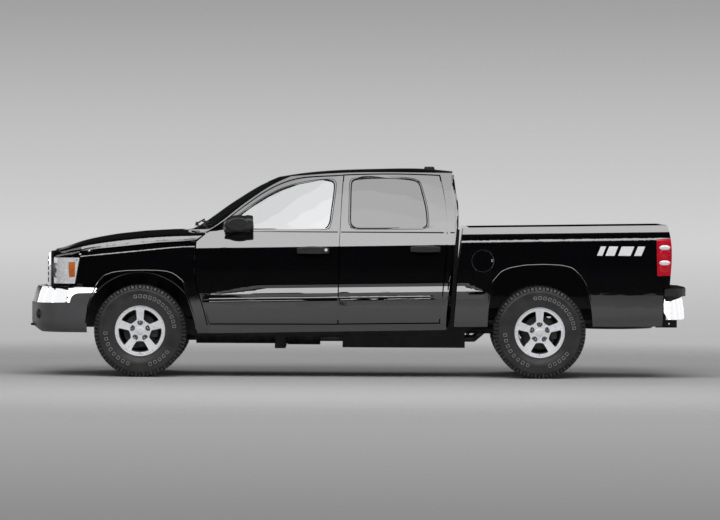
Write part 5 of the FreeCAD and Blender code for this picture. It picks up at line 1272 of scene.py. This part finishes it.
for end in ("front", "rear"):
    for side in SIDES:
        dress_wheel(end, side)
on_both_sides(bodyside)
grille_bars()
fog_lamps()
tow_hooks()
on_both_sides(head_lamp)
tailgate_latch()
step_tread()
on_both_sides(tail_lamp)
bed_floor_ribs()
tie_downs()
on_both_sides(cab_bed_gap_shade)
fuel_door_highlight_and_grip()
on_both_sides(side_bars)
roof_antenna()
wipers()
cowl_slats()
arch_aprons()
seats()
dash_vents_and_knobs()


# ---------------------------------------------------------------- studio

STRIP_AIM = Vector((0, -0.9, 1.1))
STRIP_AWAY = 8.5
STRIP_LONG = 13.5
STRIP_BRIGHTNESS = 3.3
FULL_FROM, FULL_STEP = 28.4, 2.6
FADE_FROM, FADE_STEP = 44, 1.2
END_LIGHT_AIM = (-0.8, 0.7)
END_LIGHT_AWAY = 8
END_LIGHT_SIZE = (6.2, 3.8)
END_LIGHT_BRIGHTNESS = 1.04
# The backdrop's grey by height, brightest just below the horizon and darker downwards and upwards: painted
# light falloff of the studio.
GREY_BY_HEIGHT = [(-0.30, 0.40), (-0.0583, 0.265), (-0.0392, 0.415), (-0.0252, 0.50), (-0.0132, 0.645),
                  (0.0075, 0.515), (0.0272, 0.352), (0.30, 0.42)]


def soft_box(name, place, aim, size, brightness):
    """A flat studio light of the given brightness, turned to a point."""
    light = bpy.data.lights.new(name, "AREA")
    light.shape = "RECTANGLE"
    light.size, light.size_y = size
    light.energy = brightness * math.pi * size[0] * size[1]
    lamp = bpy.data.objects.new(name, light)
    bpy.context.scene.collection.objects.link(lamp)
    lamp.location = place
    lamp.rotation_euler = (Vector(aim) - Vector(place)).to_track_quat("-Z", "Y").to_euler()
    lamp.visible_camera = False
    return lamp


def side_strip(name, low_angle, high_angle, brightness):
    """A strip of light along the near side, between two angles above the level of the doors."""
    middle = math.radians((low_angle + high_angle) / 2)
    place = STRIP_AIM + STRIP_AWAY * Vector((0, -math.cos(middle), math.sin(middle)))
    tall = 2 * STRIP_AWAY * math.tan(math.radians((high_angle - low_angle) / 2))
    return soft_box(name, place, STRIP_AIM, (STRIP_LONG, tall), brightness)


def end_light(end, corner_x, bearing, angle):
    """A light seen only in a bumper's round corner, at a bearing from straight out to the near side."""
    turn, rise = math.radians(bearing), math.radians(angle)
    level = END_LIGHT_AWAY * math.cos(rise)
    aim_y, aim_z = END_LIGHT_AIM
    place = (corner_x + math.copysign(level * math.sin(turn), corner_x), aim_y - level * math.cos(turn),
             aim_z + END_LIGHT_AWAY * math.sin(rise))
    lamp = soft_box("%s_end_light_%d" % (end, bearing), place, (corner_x, aim_y, aim_z), END_LIGHT_SIZE,
                    END_LIGHT_BRIGHTNESS)
    lamp.visible_diffuse = False


def studio_lights():
    """One tall light along the near side that fades out upwards, lights for the ends and a far one."""
    for end, corner_x in (("front", -2.55), ("rear", 2.62)):
        for bearing, angle in ((58, 31), (98, 22), (138, 14)):
            end_light(end, corner_x, bearing, angle)
    for step in range(6):
        low = FULL_FROM + FULL_STEP * step
        side_strip("side_light_full_%d" % (step + 1), low, low + FULL_STEP, STRIP_BRIGHTNESS)
    for step in range(10):
        low = FADE_FROM + FADE_STEP * step
        side_strip("side_light_fade_%d" % (step + 1), low, low + FADE_STEP,
                   STRIP_BRIGHTNESS * (0.95 - 0.095 * step))
    matt = side_strip("side_light_matt", 44, 70, 2.4)
    far = soft_box("far_side_box", (0, 6.2, 6.0), (0, -0.2, 0.9), (10, 4.0), 1.3)
    matt.visible_glossy = far.visible_glossy = False


def grey_of_height(tree, height):
    """The backdrop's grey at a height above or below the horizon."""
    low, high = GREY_BY_HEIGHT[0][0], GREY_BY_HEIGHT[-1][0]
    ramp = add_node(tree, "ValToRGB", {"Fac": map_between(tree, height, (low, high), (0, 1))})
    elements = ramp.color_ramp.elements
    while len(elements) < len(GREY_BY_HEIGHT):
        elements.new(0.5)
    for element, (place, grey) in zip(elements, GREY_BY_HEIGHT):
        element.position = (place - low) / (high - low)
        element.color = (grey, grey, grey * 1.004, 1)
    return ramp.outputs["Color"]


def studio_surroundings():
    """Pale to the eye all round, dark for reflections on the side of the near light, and dim fill."""
    world = bpy.data.worlds.new("studio")
    bpy.context.scene.world = world
    world.use_nodes = True
    tree = world.node_tree
    tree.nodes.clear()
    direction = add_node(tree, "TexCoord", {}).outputs["Generated"]
    split = add_node(tree, "SeparateXYZ", {"Vector": direction}).outputs
    far_side = map_between(tree, split["Y"], (0.15, 0.75), (0.012, 0.55), "SMOOTHSTEP")
    below = map_between(tree, split["Z"], (0.0, 0.07), (1.0, 0.015), "SMOOTHSTEP")
    mirrored = add_node(tree, "Math", {0: far_side, 1: below}, operation="MULTIPLY").outputs["Value"]
    colours = (grey_of_height(tree, split["Z"]), mirrored, (0.26, 0.26, 0.27, 1))
    seen, reflected, fill = [add_node(tree, "Background", {"Color": colour}).outputs["Background"]
                             for colour in colours]
    path = add_node(tree, "LightPath", {}).outputs
    eye = add_node(tree, "Math", {0: path["Is Camera Ray"], 1: path["Is Transmission Ray"]},
                   operation="MAXIMUM")
    unseen = add_node(tree, "MixShader", {"Fac": path["Is Glossy Ray"], 1: fill, 2: reflected})
    whole = add_node(tree, "MixShader", {"Fac": eye.outputs["Value"], 1: unseen.outputs["Shader"], 2: seen})
    add_node(tree, "OutputWorld", {"Surface": whole.outputs["Shader"]})


def studio_floor():
    """A pale matt floor round the truck that melts into the surroundings."""
    bm = bmesh.new()
    bmesh.ops.create_circle(bm, cap_ends=True, radius=11, segments=96)
    mesh = bpy.data.meshes.new("studio_floor")
    bm.to_mesh(mesh)
    bm.free()
    material, tree, shader = new_finish("studio_floor")
    length = add_node(tree, "VectorMath", {0: part_coordinates(tree)}, operation="LENGTH").outputs["Value"]
    set_sockets(tree, shader, {"Base Color": (0.44, 0.44, 0.442, 1), "Roughness": 0.85,
                               "Specular IOR Level": 0.1,
                               "Alpha": map_between(tree, length, (4.0, 10.5), (1.0, 0.0), "SMOOTHSTEP")})
    mesh.materials.append(material)
    floor = bpy.data.objects.new("studio_floor", mesh)
    bpy.context.scene.collection.objects.link(floor)


def photo_camera():
    """A long lens fifty metres away on the driver's side, a little above the roof."""
    data = bpy.data.cameras.new("camera")
    data.lens = 300
    data.sensor_width = 36
    data.clip_end = 500
    camera = bpy.data.objects.new("camera", data)
    bpy.context.scene.collection.objects.link(camera)
    camera.location = (0.010, -50.93, 1.777)
    camera.rotation_euler = (math.radians(90 - 0.907), math.radians(-0.272), 0)
    bpy.context.scene.camera = camera


studio_lights()
studio_surroundings()
studio_floor()
photo_camera()
bpy.context.scene.view_settings.view_transform = "Standard"
